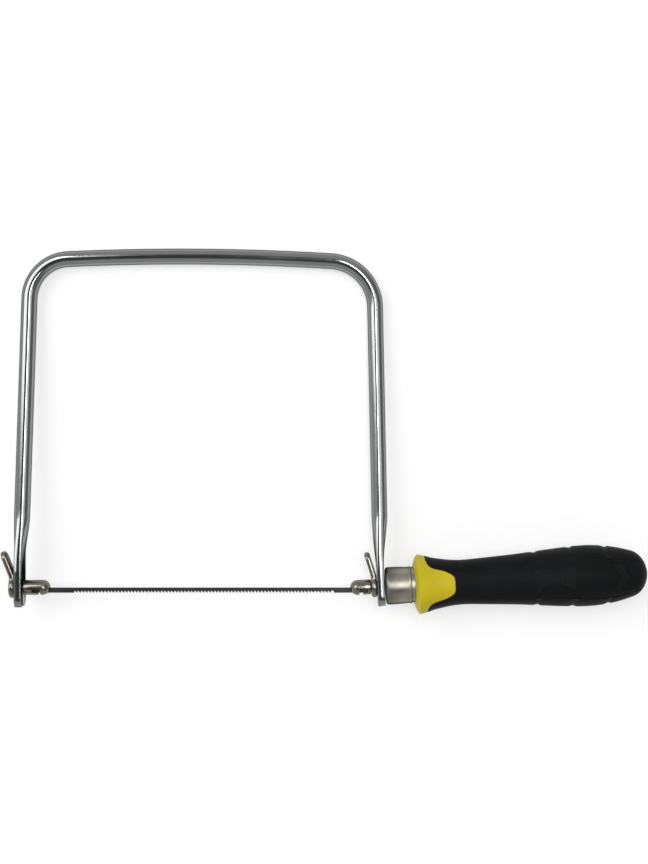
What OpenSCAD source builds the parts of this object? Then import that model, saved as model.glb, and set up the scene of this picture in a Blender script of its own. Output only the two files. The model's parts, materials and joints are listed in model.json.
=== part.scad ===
// Coping saw: sprung bow, pin-end blade in two turning holders, screw handle that tightens the blade.
// It lies flat as on a bench: +X along the blade to the handle, +Y to the back of the bow, +Z up.

/* [Blade] */
// Distance between the two blade pins
pin_span = 162; // [150:1:176]
// Width of the blade
blade_w = 2.6; // [2:0.1:3.2]
// Thickness of the blade
blade_t = 0.5; // [0.3:0.05:0.6]
// How far the blade's middle line lies below the holders' axis
blade_drop = 1.4; // [1:0.1:1.6]
// Diameter of the blade pins
pin_d = 1.5; // [1.2:0.1:1.8]
// Distance from tooth to tooth
tooth_pitch = 1.69; // [1:0.01:3]
// Depth of the teeth
tooth_depth = 0.85; // [0.4:0.05:1.1]

/* [Holders] */
// Diameter of the blade holders
holder_d = 7.5; // [6.5:0.1:9]
// Distance from a blade pin to the tip of its holder
nose_len = 5; // [4:0.1:7]
// Diameter of the necks and of the screwed shank
neck_d = 5; // [4:0.1:5.6]
// Distance from a blade pin to its fork
pin_to_fork = 9; // [8.6:0.1:12]
// How far the rear holder moves from tight to slack
slack = 2.4; // [1:0.1:2.6]
// Length of the screwed shank beyond the fork
shank_len = 58; // [45:1:70]

/* [Levers] */
// Thickness of the levers
lever_t = 2.4; // [2:0.1:2.8]
// Diameter of the round base of a lever
lever_d = 10.6; // [9:0.1:13]
// Width of the finger tab
tab_w = 7; // [5:0.1:8]
// Length of the finger tab beyond its bend
tab_len = 12.7; // [9:0.1:18]
// Angle that the finger tab leans over
tab_lean = 18.4; // [5:0.1:30]

/* [Bow] */
// Diameter of the bow's rod
rod_d = 8; // [6.5:0.1:9]
// Height of the bow above the holders' axis, to the middle of the rod
bow_rise = 167.7; // [120:1:190]
// Radius of the bend at the far end
front_bend_r = 20.5; // [15:0.5:30]
// Radius of the bend at the handle end
rear_bend_r = 23.8; // [15:0.5:30]
// Radius of the slight arch of the bow's back
arch_r = 1250; // [800:10:2500]
// Angle that the far leg leans in
front_lean = 2.06; // [0:0.02:4]
// Angle that the handle leg leans in
rear_lean = 1.32; // [0:0.02:4]
// Thickness of the flattened forks
fork_t = 3.7; // [3:0.1:5]
// Width of the flattened forks
fork_w = 12.3; // [10:0.1:15]
// How far the forks reach past the holders' axis
fork_drop = 9.7; // [7:0.1:12]
// Height above the axis where the round rod begins
round_from = 36; // [28:1:50]

/* [Handle] */
// Angle between the handle and the blade
handle_tilt = 3; // [0:0.1:5]
// Diameter of the ferrule
ferrule_d = 19.1; // [16:0.1:22]
// Length of the ferrule
ferrule_len = 15; // [10:0.1:20]
// Length of the handle behind the edge of its rim
handle_len = 116.6; // [100:0.2:140]
// Radius of the rim
rim_r = 15.15; // [13:0.05:18]
// Radius of the narrow part behind the rim
neck_r = 11.5; // [10:0.05:13]
// Radius of the widest part of the grip
swell_r = 15.5; // [14:0.05:18]
// Length of the tongues behind the edge of the rim
tongue_len = 18.3; // [14:0.1:24]
// Half width of the tongues at their blunt ends
tongue_half = 4.9; // [3:0.1:7]
// Distance between the finger grooves
groove_pitch = 17.8; // [14:0.1:20]

/* [Hidden] */
$fn = 64;

// Clearances
run_gap = 0.2;
turn_fit = 0.1;
key_fit = 0.05;
press_fit = 0.02;
mould_fit = 0.05;
thread_fit = 0.05;
swing_room = 0.25;

// Blade seat in a holder
holder_r = holder_d / 2;
pin_len = holder_d - 1.5;
pin_y = -blade_drop;
blade_back = blade_w / 2 - blade_drop;
blade_tail = 2.4;
kerf_w = blade_t + 2 * (nose_len + slack) * sin(handle_tilt) + 0.12;
kerf_top = blade_back + 0.5;
kerf_end = blade_tail + slack + 0.4;
seat_nose = pin_d / 2 + swing_room;
seat_tail = pin_d / 2 + slack + swing_room;
seat_top = pin_y + pin_d / 2 + swing_room;
seat_low = pin_y - pin_d / 2 - swing_room;
teeth_from = 17;
teeth_to = 13.5;
tooth_count = floor((pin_span - teeth_from - teeth_to) / tooth_pitch);

// Keyed necks, levers and shank
key_across = neck_d * 0.8;
slot_w = neck_d + 2 * turn_fit;
fork_back = pin_to_fork + fork_t;
front_lever_at = fork_back + run_gap;
rear_lever_at = pin_to_fork - run_gap - lever_t;
rear_body_end = rear_lever_at - run_gap;
rear_key_end = pin_to_fork + slack + run_gap;
shank_end = fork_back + shank_len;
bend_y = lever_d / 2 + 0.3;

// Ferrule and handle stations along the handle's axis
ferrule_r = ferrule_d / 2;
ferrule_at = fork_back + run_gap;
ferrule_end = ferrule_at + ferrule_len;
ferrule_wall = 1;
ferrule_face = 1.4;
ferrule_edge = 1.4;
bead_r = 0.5;
bead_at = ferrule_len - 2.6;
dimple_r = 0.9;
rim_at = ferrule_end + 1.2;
rim_lip = 2.2;
grip_from = rim_at + 4;
boss_r = ferrule_r - ferrule_wall - press_fit;
tang_r = neck_r - 3.4;
tang_end = rim_at + handle_len * 0.86;
nut_across = neck_d * 1.6;
nut_t = neck_d;
nut_at = rim_at + 6;
groove_r = 2.2;
groove_depth = 0.6;
groove_first = 0.516;
groove_count = 3;
panel_half = 8.2;
path_steps = 4;

function mix(a, b, t) = a + (b - a) * t;

// Outline of the whole handle: share of its length, radius
handle_path = [
    [0, rim_r],
    [0.036, mix(rim_r, neck_r, 0.264)],
    [0.08, mix(rim_r, neck_r, 0.625)],
    [0.176, neck_r],
    [0.298, mix(neck_r, swell_r, 0.138)],
    [0.436, mix(neck_r, swell_r, 0.388)],
    [0.573, mix(neck_r, swell_r, 0.75)],
    [0.693, swell_r],
    [0.774, swell_r * 0.994],
    [0.847, swell_r * 0.926],
    [0.907, swell_r * 0.82],
    [0.953, swell_r * 0.694],
    [0.982, swell_r * 0.465],
    [0.997, swell_r * 0.19],
    [1, 0]
];

function point_at(p, i) = p[min(max(i, 0), len(p) - 1)];
function curve(a, b, c, d, t) =
    0.5 * (2 * b + (c - a) * t + (2 * a - 5 * b + 4 * c - d) * t * t + (3 * b - a - 3 * c + d) * t * t * t);
function path_point(p, i, t) = curve(point_at(p, i - 1), p[i], p[i + 1], point_at(p, i + 2), t);
function smooth_path(p) = [
    for (i = [0 : len(p) - 2], k = [0 : path_steps - 1]) path_point(p, i, k / path_steps),
    p[len(p) - 1]
];

// Outline in millimetres: radius across, station up
handle_line = [for (q = smooth_path(handle_path)) [max(q.y, 0), rim_at + handle_len * q.x]];
swell_at = rim_at + handle_len * 0.693;
groove_radii = [for (k = [0 : groove_count - 1]) radius_at(groove_at(k))];

function groove_at(k) = rim_at + handle_len * groove_first + groove_pitch * k;
function radius_at(s) = lookup(s, [for (q = handle_line) [q.y, q.x]]);

// Bow: leg feet, leg directions and the centres of its three arcs
rod_r = rod_d / 2;
front_foot = [-pin_span / 2 - pin_to_fork - fork_t / 2, 0];
rear_foot = [pin_span / 2, 0] + (pin_to_fork + fork_t / 2) * [cos(handle_tilt), sin(handle_tilt)];
front_way = [sin(front_lean), cos(front_lean)];
rear_way = [-sin(rear_lean), cos(rear_lean)];
front_side = [cos(front_lean), -sin(front_lean)];
rear_side = [-cos(rear_lean), -sin(rear_lean)];
crown_x = -10;
join = 0.2;
flat_to = 8;
arch_join = join / arch_r * 180 / PI;
bend_d = rod_d - 0.04;
arch_center = [crown_x, bow_rise - arch_r];
front_rise = leg_rise(front_foot, front_way, front_side, front_bend_r);
rear_rise = leg_rise(rear_foot, rear_way, rear_side, rear_bend_r);
front_center = front_foot + front_rise * front_way + front_bend_r * front_side;
rear_center = rear_foot + rear_rise * rear_way + rear_bend_r * rear_side;
front_top = heading(front_center - arch_center);
rear_top = heading(rear_center - arch_center);

function heading(v) = atan2(v.y, v.x);
function leg_rise(foot, way, side, bend_r) =
    let (q = foot + bend_r * side - arch_center, along = q * way, reach = arch_r - bend_r)
    -along + sqrt(along * along - q * q + reach * reach);

// How the saw lies: swell of the grip and back of the bow on the bench, middle of its outline at the origin
roll = asin((swell_r - rod_r) / (bow_rise - swell_at * sin(handle_tilt)));
rest_z = bow_rise * sin(roll) + rod_r;
low_x = -pin_span / 2 - front_lever_at - lever_t / 2 - tab_len * sin(tab_lean) - lever_t / 2 * cos(tab_lean);
high_x = pin_span / 2 + (rim_at + handle_len) * cos(handle_tilt);
low_y = rim_at * sin(handle_tilt) - rim_r * cos(handle_tilt);
high_y = bow_rise * cos(roll) + rod_r;

module lay() {
    translate([-(low_x + high_x) / 2, -(low_y + high_y) / 2, rest_z])
        rotate([-roll, 0, 0])
            children();
}

// Frames of the two holders: the pin at the origin, +X away from the blade
module at_front() {
    translate([-pin_span / 2, 0, 0])
        mirror([1, 0, 0])
            children();
}

module at_rear() {
    translate([pin_span / 2, 0, 0])
        rotate([0, 0, handle_tilt])
            children();
}

module round_bar(d, from, to) {
    translate([from, 0, 0])
        rotate([0, 90, 0])
            cylinder(d = d, h = to - from);
}

module keyed_bar(d, across, from, to) {
    intersection() {
        round_bar(d, from, to);
        translate([from - 1, -across / 2, -d])
            cube([to - from + 2, across, 2 * d]);
    }
}

module flat_bar(from, to, inset) {
    edge = (fork_w - fork_t) / 2;
    thick = fork_t - 2 * inset;
    translate([pin_to_fork + inset, from, -edge])
        cube([thick, to - from, 2 * edge]);
    for (side = [-1, 1])
        translate([pin_to_fork + fork_t / 2, from, side * edge])
            rotate([-90, 0, 0])
                cylinder(d = thick, h = to - from);
}

module fork_end() {
    tip_r = fork_w * 0.3;
    difference() {
        flat_bar(-fork_drop, flat_to, 0);
        for (side = [-1, 1])
            difference() {
                translate([pin_to_fork - 1, -fork_drop - 1, side > 0 ? fork_w / 2 - tip_r : -fork_w / 2 - 1])
                    cube([fork_t + 2, tip_r + 1, tip_r + 1]);
                translate([pin_to_fork - 2, -fork_drop + tip_r, side * (fork_w / 2 - tip_r)])
                    rotate([0, 90, 0])
                        cylinder(r = tip_r, h = fork_t + 4);
            }
        round_bar(slot_w, pin_to_fork - 1, fork_back + 1);
        translate([pin_to_fork - 1, -fork_drop - 1, -slot_w / 2])
            cube([fork_t + 2, fork_drop + 1, slot_w]);
    }
}

module fork_top() {
    flat_bar(flat_to - 2 * join, flat_to - join, 0.06);
}

module leg_rod(foot, way, d, from, to) {
    start = foot + way * from;
    translate([start.x, start.y, 0])
        rotate([0, 90, heading(way)])
            cylinder(d = d, h = to - from);
}

module leg_neck(foot, way) {
    hull($fn = 32) {
        children();
        leg_rod(foot, way, rod_d - 0.1, round_from + join, round_from + 2 * join);
    }
}

module rod_arc(center, r, d, from, to) {
    translate([center.x, center.y, 0])
        rotate([0, 0, from])
            rotate_extrude(angle = to - from)
                translate([r, 0])
                    circle(d = d);
}

module bow_frame() {
    color([0.76, 0.77, 0.78])
        lay() {
            at_front()
                fork_end();
            at_rear()
                fork_end();
            leg_neck(front_foot, front_way)
                at_front()
                    fork_top();
            leg_neck(rear_foot, rear_way)
                at_rear()
                    fork_top();
            leg_rod(front_foot, front_way, rod_d, round_from, front_rise + join);
            leg_rod(rear_foot, rear_way, rod_d, round_from, rear_rise + join);
            rod_arc(front_center, front_bend_r, bend_d, front_top, 180 - front_lean);
            rod_arc(rear_center, rear_bend_r, bend_d, rear_lean, rear_top);
            rod_arc(arch_center, arch_r, rod_d, rear_top - arch_join, front_top + arch_join);
        }
}

module holder_body(to) {
    rotate([0, 90, 0])
        rotate_extrude()
            intersection() {
                union() {
                    translate([0, holder_r - nose_len])
                        circle(d = holder_d);
                    translate([0, holder_r - nose_len])
                        square([holder_r, to + nose_len - holder_r]);
                }
                translate([0, -2 * nose_len])
                    square([holder_d, 4 * nose_len + to]);
            }
}

module blade_seat() {
    translate([-nose_len - 1, -holder_d, -kerf_w / 2])
        cube([nose_len + 1 + kerf_end, holder_d + kerf_top, kerf_w]);
    translate([-seat_nose, -holder_d, -holder_d])
        cube([2 * seat_nose, holder_d + seat_top, 2 * holder_d]);
    translate([-seat_nose, seat_low, -holder_d])
        cube([seat_nose + seat_tail, seat_top - seat_low, 2 * holder_d]);
}

module front_spigot() {
    color([0.6, 0.6, 0.55])
        lay()
            at_front()
                difference() {
                    union() {
                        holder_body(pin_to_fork - run_gap);
                        round_bar(neck_d, pin_to_fork - run_gap - 1, front_lever_at - press_fit);
                        keyed_bar(neck_d, key_across, pin_to_fork, front_lever_at + lever_t);
                    }
                    blade_seat();
                }
}

module rear_spigot() {
    color([0.6, 0.6, 0.55])
        lay()
            at_rear()
                difference() {
                    union() {
                        holder_body(rear_body_end);
                        keyed_bar(neck_d, key_across, rear_body_end - 1, rear_key_end + 1);
                        round_bar(neck_d, rear_key_end, shank_end);
                    }
                    blade_seat();
                }
}

module lever(from, lean) {
    mid = from + lever_t / 2;
    difference() {
        union() {
            round_bar(lever_d, from, from + lever_t);
            translate([from, 0, -tab_w / 2])
                cube([lever_t, bend_y, tab_w]);
            translate([mid, bend_y, -tab_w / 2])
                cylinder(d = lever_t, h = tab_w);
            translate([mid, bend_y, 0])
                rotate([0, 0, -lean]) {
                    translate([-lever_t / 2, 0, -tab_w / 2])
                        cube([lever_t, tab_len - tab_w / 2, tab_w]);
                    translate([0, tab_len - tab_w / 2, 0])
                        round_bar(tab_w, -lever_t / 2, lever_t / 2);
                }
        }
        keyed_bar(neck_d + 2 * key_fit, key_across + 2 * key_fit, from - 1, from + lever_t + 1);
    }
}

module front_lever() {
    color([0.6, 0.6, 0.55])
        lay()
            at_front()
                lever(front_lever_at, tab_lean);
}

module rear_lever() {
    color([0.6, 0.6, 0.55])
        lay()
            at_rear()
                lever(rear_lever_at, -tab_lean);
}

module blade() {
    half = pin_span / 2 + blade_tail;
    low = blade_back - blade_w;
    first = -pin_span / 2 + teeth_from;
    color([0.12, 0.12, 0.13])
        lay()
            difference() {
                linear_extrude(blade_t, center = true)
                    polygon([
                        [-half, blade_back],
                        [-half, low],
                        for (k = [0 : tooth_count - 1], p = [0, 0.12, 0.88])
                            [first + (k + p) * tooth_pitch, p == 0.12 ? low + tooth_depth : low],
                        [half, low],
                        [half, blade_back]
                    ]);
                for (side = [-1, 1])
                    translate([side * pin_span / 2, pin_y, -blade_t])
                        cylinder(d = pin_d + 2 * press_fit, h = 2 * blade_t);
            }
}

module blade_pin(side) {
    color([0.2, 0.2, 0.2])
        lay()
            translate([side * pin_span / 2, pin_y, -pin_len / 2])
                cylinder(d = pin_d, h = pin_len);
}

module front_blade_pin() {
    blade_pin(-1);
}

module rear_blade_pin() {
    blade_pin(1);
}

// Solids turned about the handle's axis: profiles drawn as radius across, station up
module turned() {
    at_rear()
        rotate([0, 90, 0])
            rotate_extrude()
                children();
}

module ferrule() {
    color([0.62, 0.61, 0.56])
        lay()
            difference() {
                turned()
                    translate([0, ferrule_at])
                        difference() {
                            union() {
                                translate([0, ferrule_edge])
                                    square([ferrule_r, ferrule_len - ferrule_edge]);
                                square([ferrule_r - ferrule_edge, ferrule_len]);
                                translate([ferrule_r - ferrule_edge, ferrule_edge])
                                    circle(r = ferrule_edge);
                                translate([ferrule_r - 0.15, bead_at])
                                    circle(r = bead_r);
                            }
                            translate([-1, ferrule_face])
                                square([ferrule_r - ferrule_wall + 1, ferrule_len]);
                            translate([-1, -1])
                                square([neck_d / 2 + 1.3, ferrule_len]);
                        }
                at_rear()
                    for (side = [0, 180])
                        rotate([side - 48, 0, 0])
                            translate([ferrule_at + bead_at - 1.6, 0, ferrule_r + dimple_r * 0.5])
                                sphere(r = dimple_r);
            }
}

module handle_outline(from) {
    polygon([
        [0, from],
        [radius_at(from), from],
        for (q = handle_line)
            if (q.y > from + 0.01) q
    ]);
}

module tongue_prism(grow) {
    tip = rim_at + tongue_len + grow;
    half = tongue_half + grow;
    wide = rim_r + 2;
    side = [
        [rim_at - 1, wide],
        [grip_from - 0.2, wide],
        [grip_from + 0.1, rim_r * 0.86 + grow],
        [grip_from + 1.2, half * 2.15],
        [grip_from + 3.4, half * 1.8],
        [mix(grip_from, tip, 0.66), half * 1.42],
        [tip - 1.7, half * 1.08],
        [tip - 0.5, half * 0.86],
        [tip, half * 0.55]
    ];
    count = len(side);
    at_rear()
        linear_extrude(4 * rim_r, center = true)
            polygon([
                for (k = [0 : count - 1]) side[k],
                for (k = [count - 1 : -1 : 0]) [side[k].x, -side[k].y]
            ]);
}

module nut_solid(grow) {
    translate([nut_at - grow, 0, 0])
        rotate([0, 90, 0])
            cylinder(d = (nut_across + 2 * grow) / cos(30), h = nut_t + 2 * grow, $fn = 6);
}

module handle_core() {
    color([0.78, 0.7, 0.14])
        lay()
            difference() {
                union() {
                    turned()
                        difference() {
                            polygon([
                                [0, rim_at - rim_lip],
                                [ferrule_r + 0.3, rim_at - rim_lip],
                                [mix(ferrule_r, rim_r, 0.5), rim_at - rim_lip * 0.72],
                                [mix(ferrule_r, rim_r, 0.9), rim_at - rim_lip * 0.2],
                                for (q = handle_line)
                                    if (q.y < grip_from - 0.01) q,
                                [radius_at(grip_from), grip_from],
                                [0, grip_from]
                            ]);
                            translate([-1, rim_at - 2 * rim_lip])
                                square([ferrule_r + press_fit + 1, 2 * rim_lip + ferrule_end + press_fit - rim_at]);
                        }
                    at_rear()
                        round_bar(2 * boss_r, ferrule_at + ferrule_face + press_fit, rim_at + 0.5);
                    intersection() {
                        turned()
                            handle_outline(grip_from - 0.5);
                        tongue_prism(0);
                    }
                    at_rear()
                        round_bar(2 * tang_r, rim_at, tang_end);
                }
                at_rear() {
                    round_bar(neck_d + 0.5, ferrule_at, shank_end + 3);
                    nut_solid(mould_fit);
                }
            }
}

module grip_sleeve() {
    color([0.11, 0.12, 0.12])
        lay()
            difference() {
                turned()
                    handle_outline(grip_from + mould_fit);
                at_rear()
                    round_bar(2 * tang_r + 2 * mould_fit, grip_from - 1, tang_end + mould_fit);
                tongue_prism(mould_fit);
                for (k = [0 : groove_count - 1])
                    intersection() {
                        turned()
                            translate([groove_radii[k] + groove_r - groove_depth, groove_at(k)])
                                circle(r = groove_r);
                        at_rear()
                            for (side = [0, 180])
                                rotate([side, 0, 0])
                                    translate([groove_at(k) - 2 * groove_r, panel_half, -2 * swell_r])
                                        cube([4 * groove_r, 2 * swell_r, 4 * swell_r]);
                    }
            }
}

module captive_nut() {
    color([0.7, 0.6, 0.35])
        lay()
            at_rear()
                difference() {
                    nut_solid(0);
                    round_bar(neck_d + 2 * thread_fit, nut_at - 1, nut_at + nut_t + 1);
                }
}

bow_frame();
front_spigot();
front_lever();
rear_spigot();
rear_lever();
blade();
front_blade_pin();
rear_blade_pin();
ferrule();
handle_core();
grip_sleeve();
captive_nut();
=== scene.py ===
"""Coping saw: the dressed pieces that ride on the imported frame, laid out as a Blender add-on."""
import bisect
import json
import math

import bmesh
import bpy
from bpy.props import FloatProperty, FloatVectorProperty, IntProperty, PointerProperty
from mathutils import Matrix, Vector


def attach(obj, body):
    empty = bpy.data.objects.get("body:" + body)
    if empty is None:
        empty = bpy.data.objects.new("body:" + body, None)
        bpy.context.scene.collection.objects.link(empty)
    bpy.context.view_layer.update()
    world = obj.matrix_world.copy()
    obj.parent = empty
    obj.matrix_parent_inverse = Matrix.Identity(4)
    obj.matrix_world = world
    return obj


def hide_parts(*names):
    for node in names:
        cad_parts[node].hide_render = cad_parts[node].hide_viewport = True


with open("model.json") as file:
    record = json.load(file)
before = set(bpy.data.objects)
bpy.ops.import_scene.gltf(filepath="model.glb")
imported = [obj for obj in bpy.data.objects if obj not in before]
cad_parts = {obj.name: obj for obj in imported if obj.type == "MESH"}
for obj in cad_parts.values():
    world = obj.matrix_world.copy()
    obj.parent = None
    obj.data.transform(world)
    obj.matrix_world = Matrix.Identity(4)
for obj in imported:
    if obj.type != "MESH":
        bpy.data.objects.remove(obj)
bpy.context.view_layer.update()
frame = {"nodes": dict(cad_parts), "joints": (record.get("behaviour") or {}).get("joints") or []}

bl_info = {
    "name": "Coping saw",
    "version": (1, 0, 0),
    "blender": (4, 5, 0),
    "location": "View3D > Sidebar > Coping saw",
    "description": "Builds the dressed pieces of a coping saw on its packed frame",
    "category": "Object",
}

MM = 0.001
MERGE = 0.0001 * MM
POLE = 0.0001 * MM
SHARP = math.radians(38)
CORNER_STEPS = 4
HOLDER_SIDES = 64
PIN_SIDES = 24
FERRULE_SIDES = 224

# Places of the pins and axes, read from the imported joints
joints = {joint["name"]: joint for joint in frame["joints"]}
front_pin = Vector(joints["blade_index"]["pos_m"])
rear_pin = Vector(joints["rear_index"]["pos_m"])
saw_x = Vector(joints["blade_index"]["axis"])
saw_y = -Vector(joints["blade_lift_out"]["axis"])
saw_z = saw_x.cross(saw_y)
handle_x = Vector(joints["handle_turn"]["axis"])
handle_y = saw_z.cross(handle_x)
pin_span = (rear_pin - front_pin).length
handle_tilt = saw_x.angle(handle_x)


def place_from(origin, along, up, out):
    """Matrix whose axes are the three given ways."""
    place = Matrix((along, up, out)).transposed().to_4x4()
    place.translation = origin
    return place


SAW = place_from((front_pin + rear_pin) / 2, saw_x, saw_y, saw_z)
FRONT = place_from(front_pin, -saw_x, saw_y, saw_z)
REAR = place_from(rear_pin, handle_x, handle_y, saw_z)


def length(name, description, size_mm):
    """Length property, given in millimetres and kept in metres."""
    return FloatProperty(name=name, description=description, default=size_mm * MM,
                         unit="LENGTH", precision=5)


def angle(name, description, degrees):
    """Angle property, given in degrees."""
    return FloatProperty(name=name, description=description, default=math.radians(degrees),
                         subtype="ANGLE")


def colour(name, description, red, green, blue):
    """Colour property, in linear light."""
    return FloatVectorProperty(name=name, description=description, default=(red, green, blue),
                               subtype="COLOR", min=0, max=1)


def share(name, description, value):
    """Property between nothing and one."""
    return FloatProperty(name=name, description=description, default=value, min=0, max=1, subtype="FACTOR")


def glow(name, description, value):
    """Radiance property."""
    return FloatProperty(name=name, description=description, default=value, min=0)


class BowSizes(bpy.types.PropertyGroup):
    """Sizes of the sprung bow."""
    rod_d: length("Rod", "Diameter of the rod", 8)
    rise: length("Rise", "Height of the back of the bow above the blade holders", 167.7)
    front_bend: length("Far bend", "Radius of the bend at the far end", 20.5)
    rear_bend: length("Handle bend", "Radius of the bend at the handle end", 23.8)
    arch: length("Arch", "Radius of the slight arch of the back", 1250)
    crown: length("Crown", "How far the arch's crown lies from the blade's middle", -10)
    front_lean: angle("Far lean", "Angle that the far leg leans in", 1.93)
    rear_lean: angle("Handle lean", "Angle that the handle leg leans in", 1.19)
    fork_t: length("Fork thickness", "Thickness of the flattened forks", 3.7)
    fork_w: length("Fork width", "Width of the flattened forks", 12.3)
    fork_drop: length("Fork drop", "How far the forks reach past the holders", 9.7)
    flat_to: length("Flat to", "Height to which the forks stay flat", 8)
    round_from: length("Round from", "Height where the round rod begins", 36)
    slot_w: length("Slot", "Width of the slot in a fork", 5.2)
    slot_edge: length("Slot edge", "Rounding of the slot's edges", 0.35)


class BladeSizes(bpy.types.PropertyGroup):
    """Sizes of the blade and its pins."""
    width: length("Width", "Width of the blade", 2.6)
    thick: length("Thickness", "Thickness of the blade", 0.5)
    drop: length("Drop", "How far the blade's middle lies below the holders' axis", 1.4)
    tail: length("Tail", "How far the blade runs past its pins' joints", 4)
    pin_d: length("Pin", "Diameter of a pin", 1.3)
    pin_len: length("Pin length", "Length of a pin", 6)
    pin_out: length("Pin place", "How far a pin sits outwards of its joint", 0.45)
    pitch: length("Tooth pitch", "Distance from tooth to tooth", 1.69)
    depth: length("Tooth depth", "Depth of the teeth", 1.0)
    tooth_set: angle("Tooth set", "Angle that the teeth lean out, one to each side in turn", 4)
    teeth_from: length("Teeth from", "Plain length at the far end", 17)
    teeth_to: length("Teeth to", "Plain length at the handle end", 13.5)


class HolderSizes(bpy.types.PropertyGroup):
    """Sizes of the two blade holders."""
    body_d: length("Body", "Diameter of a holder", 7.5)
    nose_len: length("Nose", "Length from a blade pin to its holder's tip", 5)
    neck_d: length("Neck", "Diameter of the necks and the shank", 5)
    key_across: length("Key", "Distance across the flats of the necks", 4)
    front_body_end: length("Far body", "Where the far holder's body ends", 8.5)
    front_end: length("Far end", "Where the far holder ends", 15.5)
    rear_body_end: length("Handle body", "Where the handle-side holder's body ends", 5.5)
    rear_key_end: length("Handle key", "Where the keyed part of the shank ends", 12.6)
    rear_end: length("Shank end", "Where the screwed shank ends", 70.7)
    slit_w: length("Slit", "Width of the slit for the blade", 1.39)
    slit_top: length("Slit top", "Height of the slit's ceiling above the axis", 0.4)
    slit_end: length("Slit end", "Where the slit ends behind the pin", 6.7)
    seat_nose: length("Seat nose", "Room for the pin towards the nose", 0.5)
    front_way: length("Far way in", "Width of the pin's way into the far holder", 1.5)
    rear_way: length("Handle way in", "Width of the pin's way into the handle-side holder", 1.9)
    seat_tail: length("Seat tail", "Room for the pin away from the nose", 3.9)
    seat_top: length("Seat top", "Height of the pin seat's ceiling above the axis", -0.65)
    seat_low: length("Seat low", "Height of the pin seat's floor above the axis", -2.45)
    edge: length("Edge", "Rounding of a holder's edges", 0.12)


class LeverSizes(bpy.types.PropertyGroup):
    """Sizes of the two finger levers."""
    thick: length("Thickness", "Thickness of a lever", 2.8)
    base_d: length("Base", "Diameter of the round base", 10.6)
    tab_w: length("Tab width", "Width of the finger tab", 7)
    front_tab: length("Far tab", "Length of the far lever's tab beyond its bend", 13.5)
    rear_tab: length("Handle tab", "Length of the handle-side lever's tab beyond its bend", 12.3)
    front_lean: angle("Far lean", "Angle that the far lever's tab leans over", 22)
    rear_lean: angle("Handle lean", "Angle that the handle-side lever's tab leans over", 14.6)
    bend_y: length("Bend height", "Height of the bend above the holder's axis", 5.6)
    bend_r: length("Bend radius", "Radius of the bend's middle line", 4)
    fillet: length("Fillet", "Radius between the base and the tab", 2)
    edge: length("Edge", "Rounding of the edges", 1.0)
    key_r: length("Key hole", "Radius of the keyed hole", 2.55)
    key_half: length("Key flats", "Half the distance across the hole's flats", 2.05)
    front_at: length("Far lever", "Where the far lever's near face lies", 12.6)
    rear_at: length("Handle lever", "Where the handle-side lever's near face lies", 5.7)


class HandleSizes(bpy.types.PropertyGroup):
    """Sizes of the ferrule and the grip."""
    ferrule_d: length("Ferrule", "Diameter of the ferrule", 18.8)
    ferrule_at: length("Ferrule from", "Where the ferrule begins", 12.9)
    ferrule_len: length("Ferrule length", "Length of the ferrule", 15)
    ferrule_edge: length("Ferrule edge", "Rounding of the ferrule's front edge", 1.4)
    ferrule_taper: length("Ferrule taper", "Fall of the ferrule's radius from its front to its bead", 0.4)
    bead: length("Bead", "Height of the bead round the ferrule", 0.35)
    dimple: length("Dimple", "Radius of the punched dimples", 0.9)
    rim_at: length("Rim", "Where the rim's edge lies", 29.7)
    rim_lip: length("Rim lip", "Length of the rim's sloping front", 2.7)
    rim_dip: length("Rim dip", "How far the rim's front dips back at the sides", 0.8)
    grip_from: length("Grip from", "Where the soft grip begins", 33.1)
    rim_r: length("Rim radius", "Radius of the rim", 15.15)
    neck_r: length("Neck radius", "Radius of the narrow part behind the rim", 11.3)
    swell_r: length("Swell radius", "Radius of the widest part", 15.3)
    total: length("Length", "Length of the handle behind the rim's edge", 115.7)
    tongue_len: length("Tongue", "Length of the tongues behind the rim's edge", 17.7)
    tongue_half: length("Tongue half", "Half width of the tongues' blunt ends", 4.9)
    seam: length("Seam", "Depth of the seam between the hard and the soft part", 0.3)
    groove_depth: length("Groove depth", "Depth of the finger grooves", 0.6)
    groove_pitch: length("Groove pitch", "Distance from groove to groove", 17.8)
    groove_at: length("First groove", "Where the first finger groove lies", 89.4)
    groove_count: IntProperty(name="Grooves", description="Number of finger grooves", default=3, min=0)
    tang_r: length("Tang", "Radius of the hard tang inside the grip", 8.1)
    tang_end: length("Tang end", "Where the tang ends", 129.4)
    panel_from: length("Panel from", "Where the side panels begin", 66)
    upper_near: length("Upper near", "Reach of the side panels upwards, near the rim", 5)
    upper_far: length("Upper far", "Reach of the side panels upwards, near the butt", 9.05)
    upper_to: length("Upper to", "Where the panels' upper edge stops widening", 104)
    lower_near: length("Lower near", "Reach of the side panels downwards, near the rim", 7.6)
    lower_far: length("Lower far", "Reach of the side panels downwards, near the butt", 10.5)
    lower_to: length("Lower to", "Where the panels' lower edge stops widening", 122)
    panel_line: length("Panel line", "Depth of the line round a side panel", 0.3)
    dot_pitch: length("Dot pitch", "Distance between the grip dots", 1.5)
    dot_r: length("Dot radius", "Radius of a grip dot", 0.4)
    dot_rise: length("Dot height", "Height of a grip dot", 0.16)
    dots_at: length("Dots at", "Where the middle of the dotted bow tie lies", 97)
    dots_half: length("Dots half", "Half the length of the dotted bow tie", 9.6)
    arrow_at: length("Arrow at", "Where the tip of the dotted arrow lies", 134)


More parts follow.
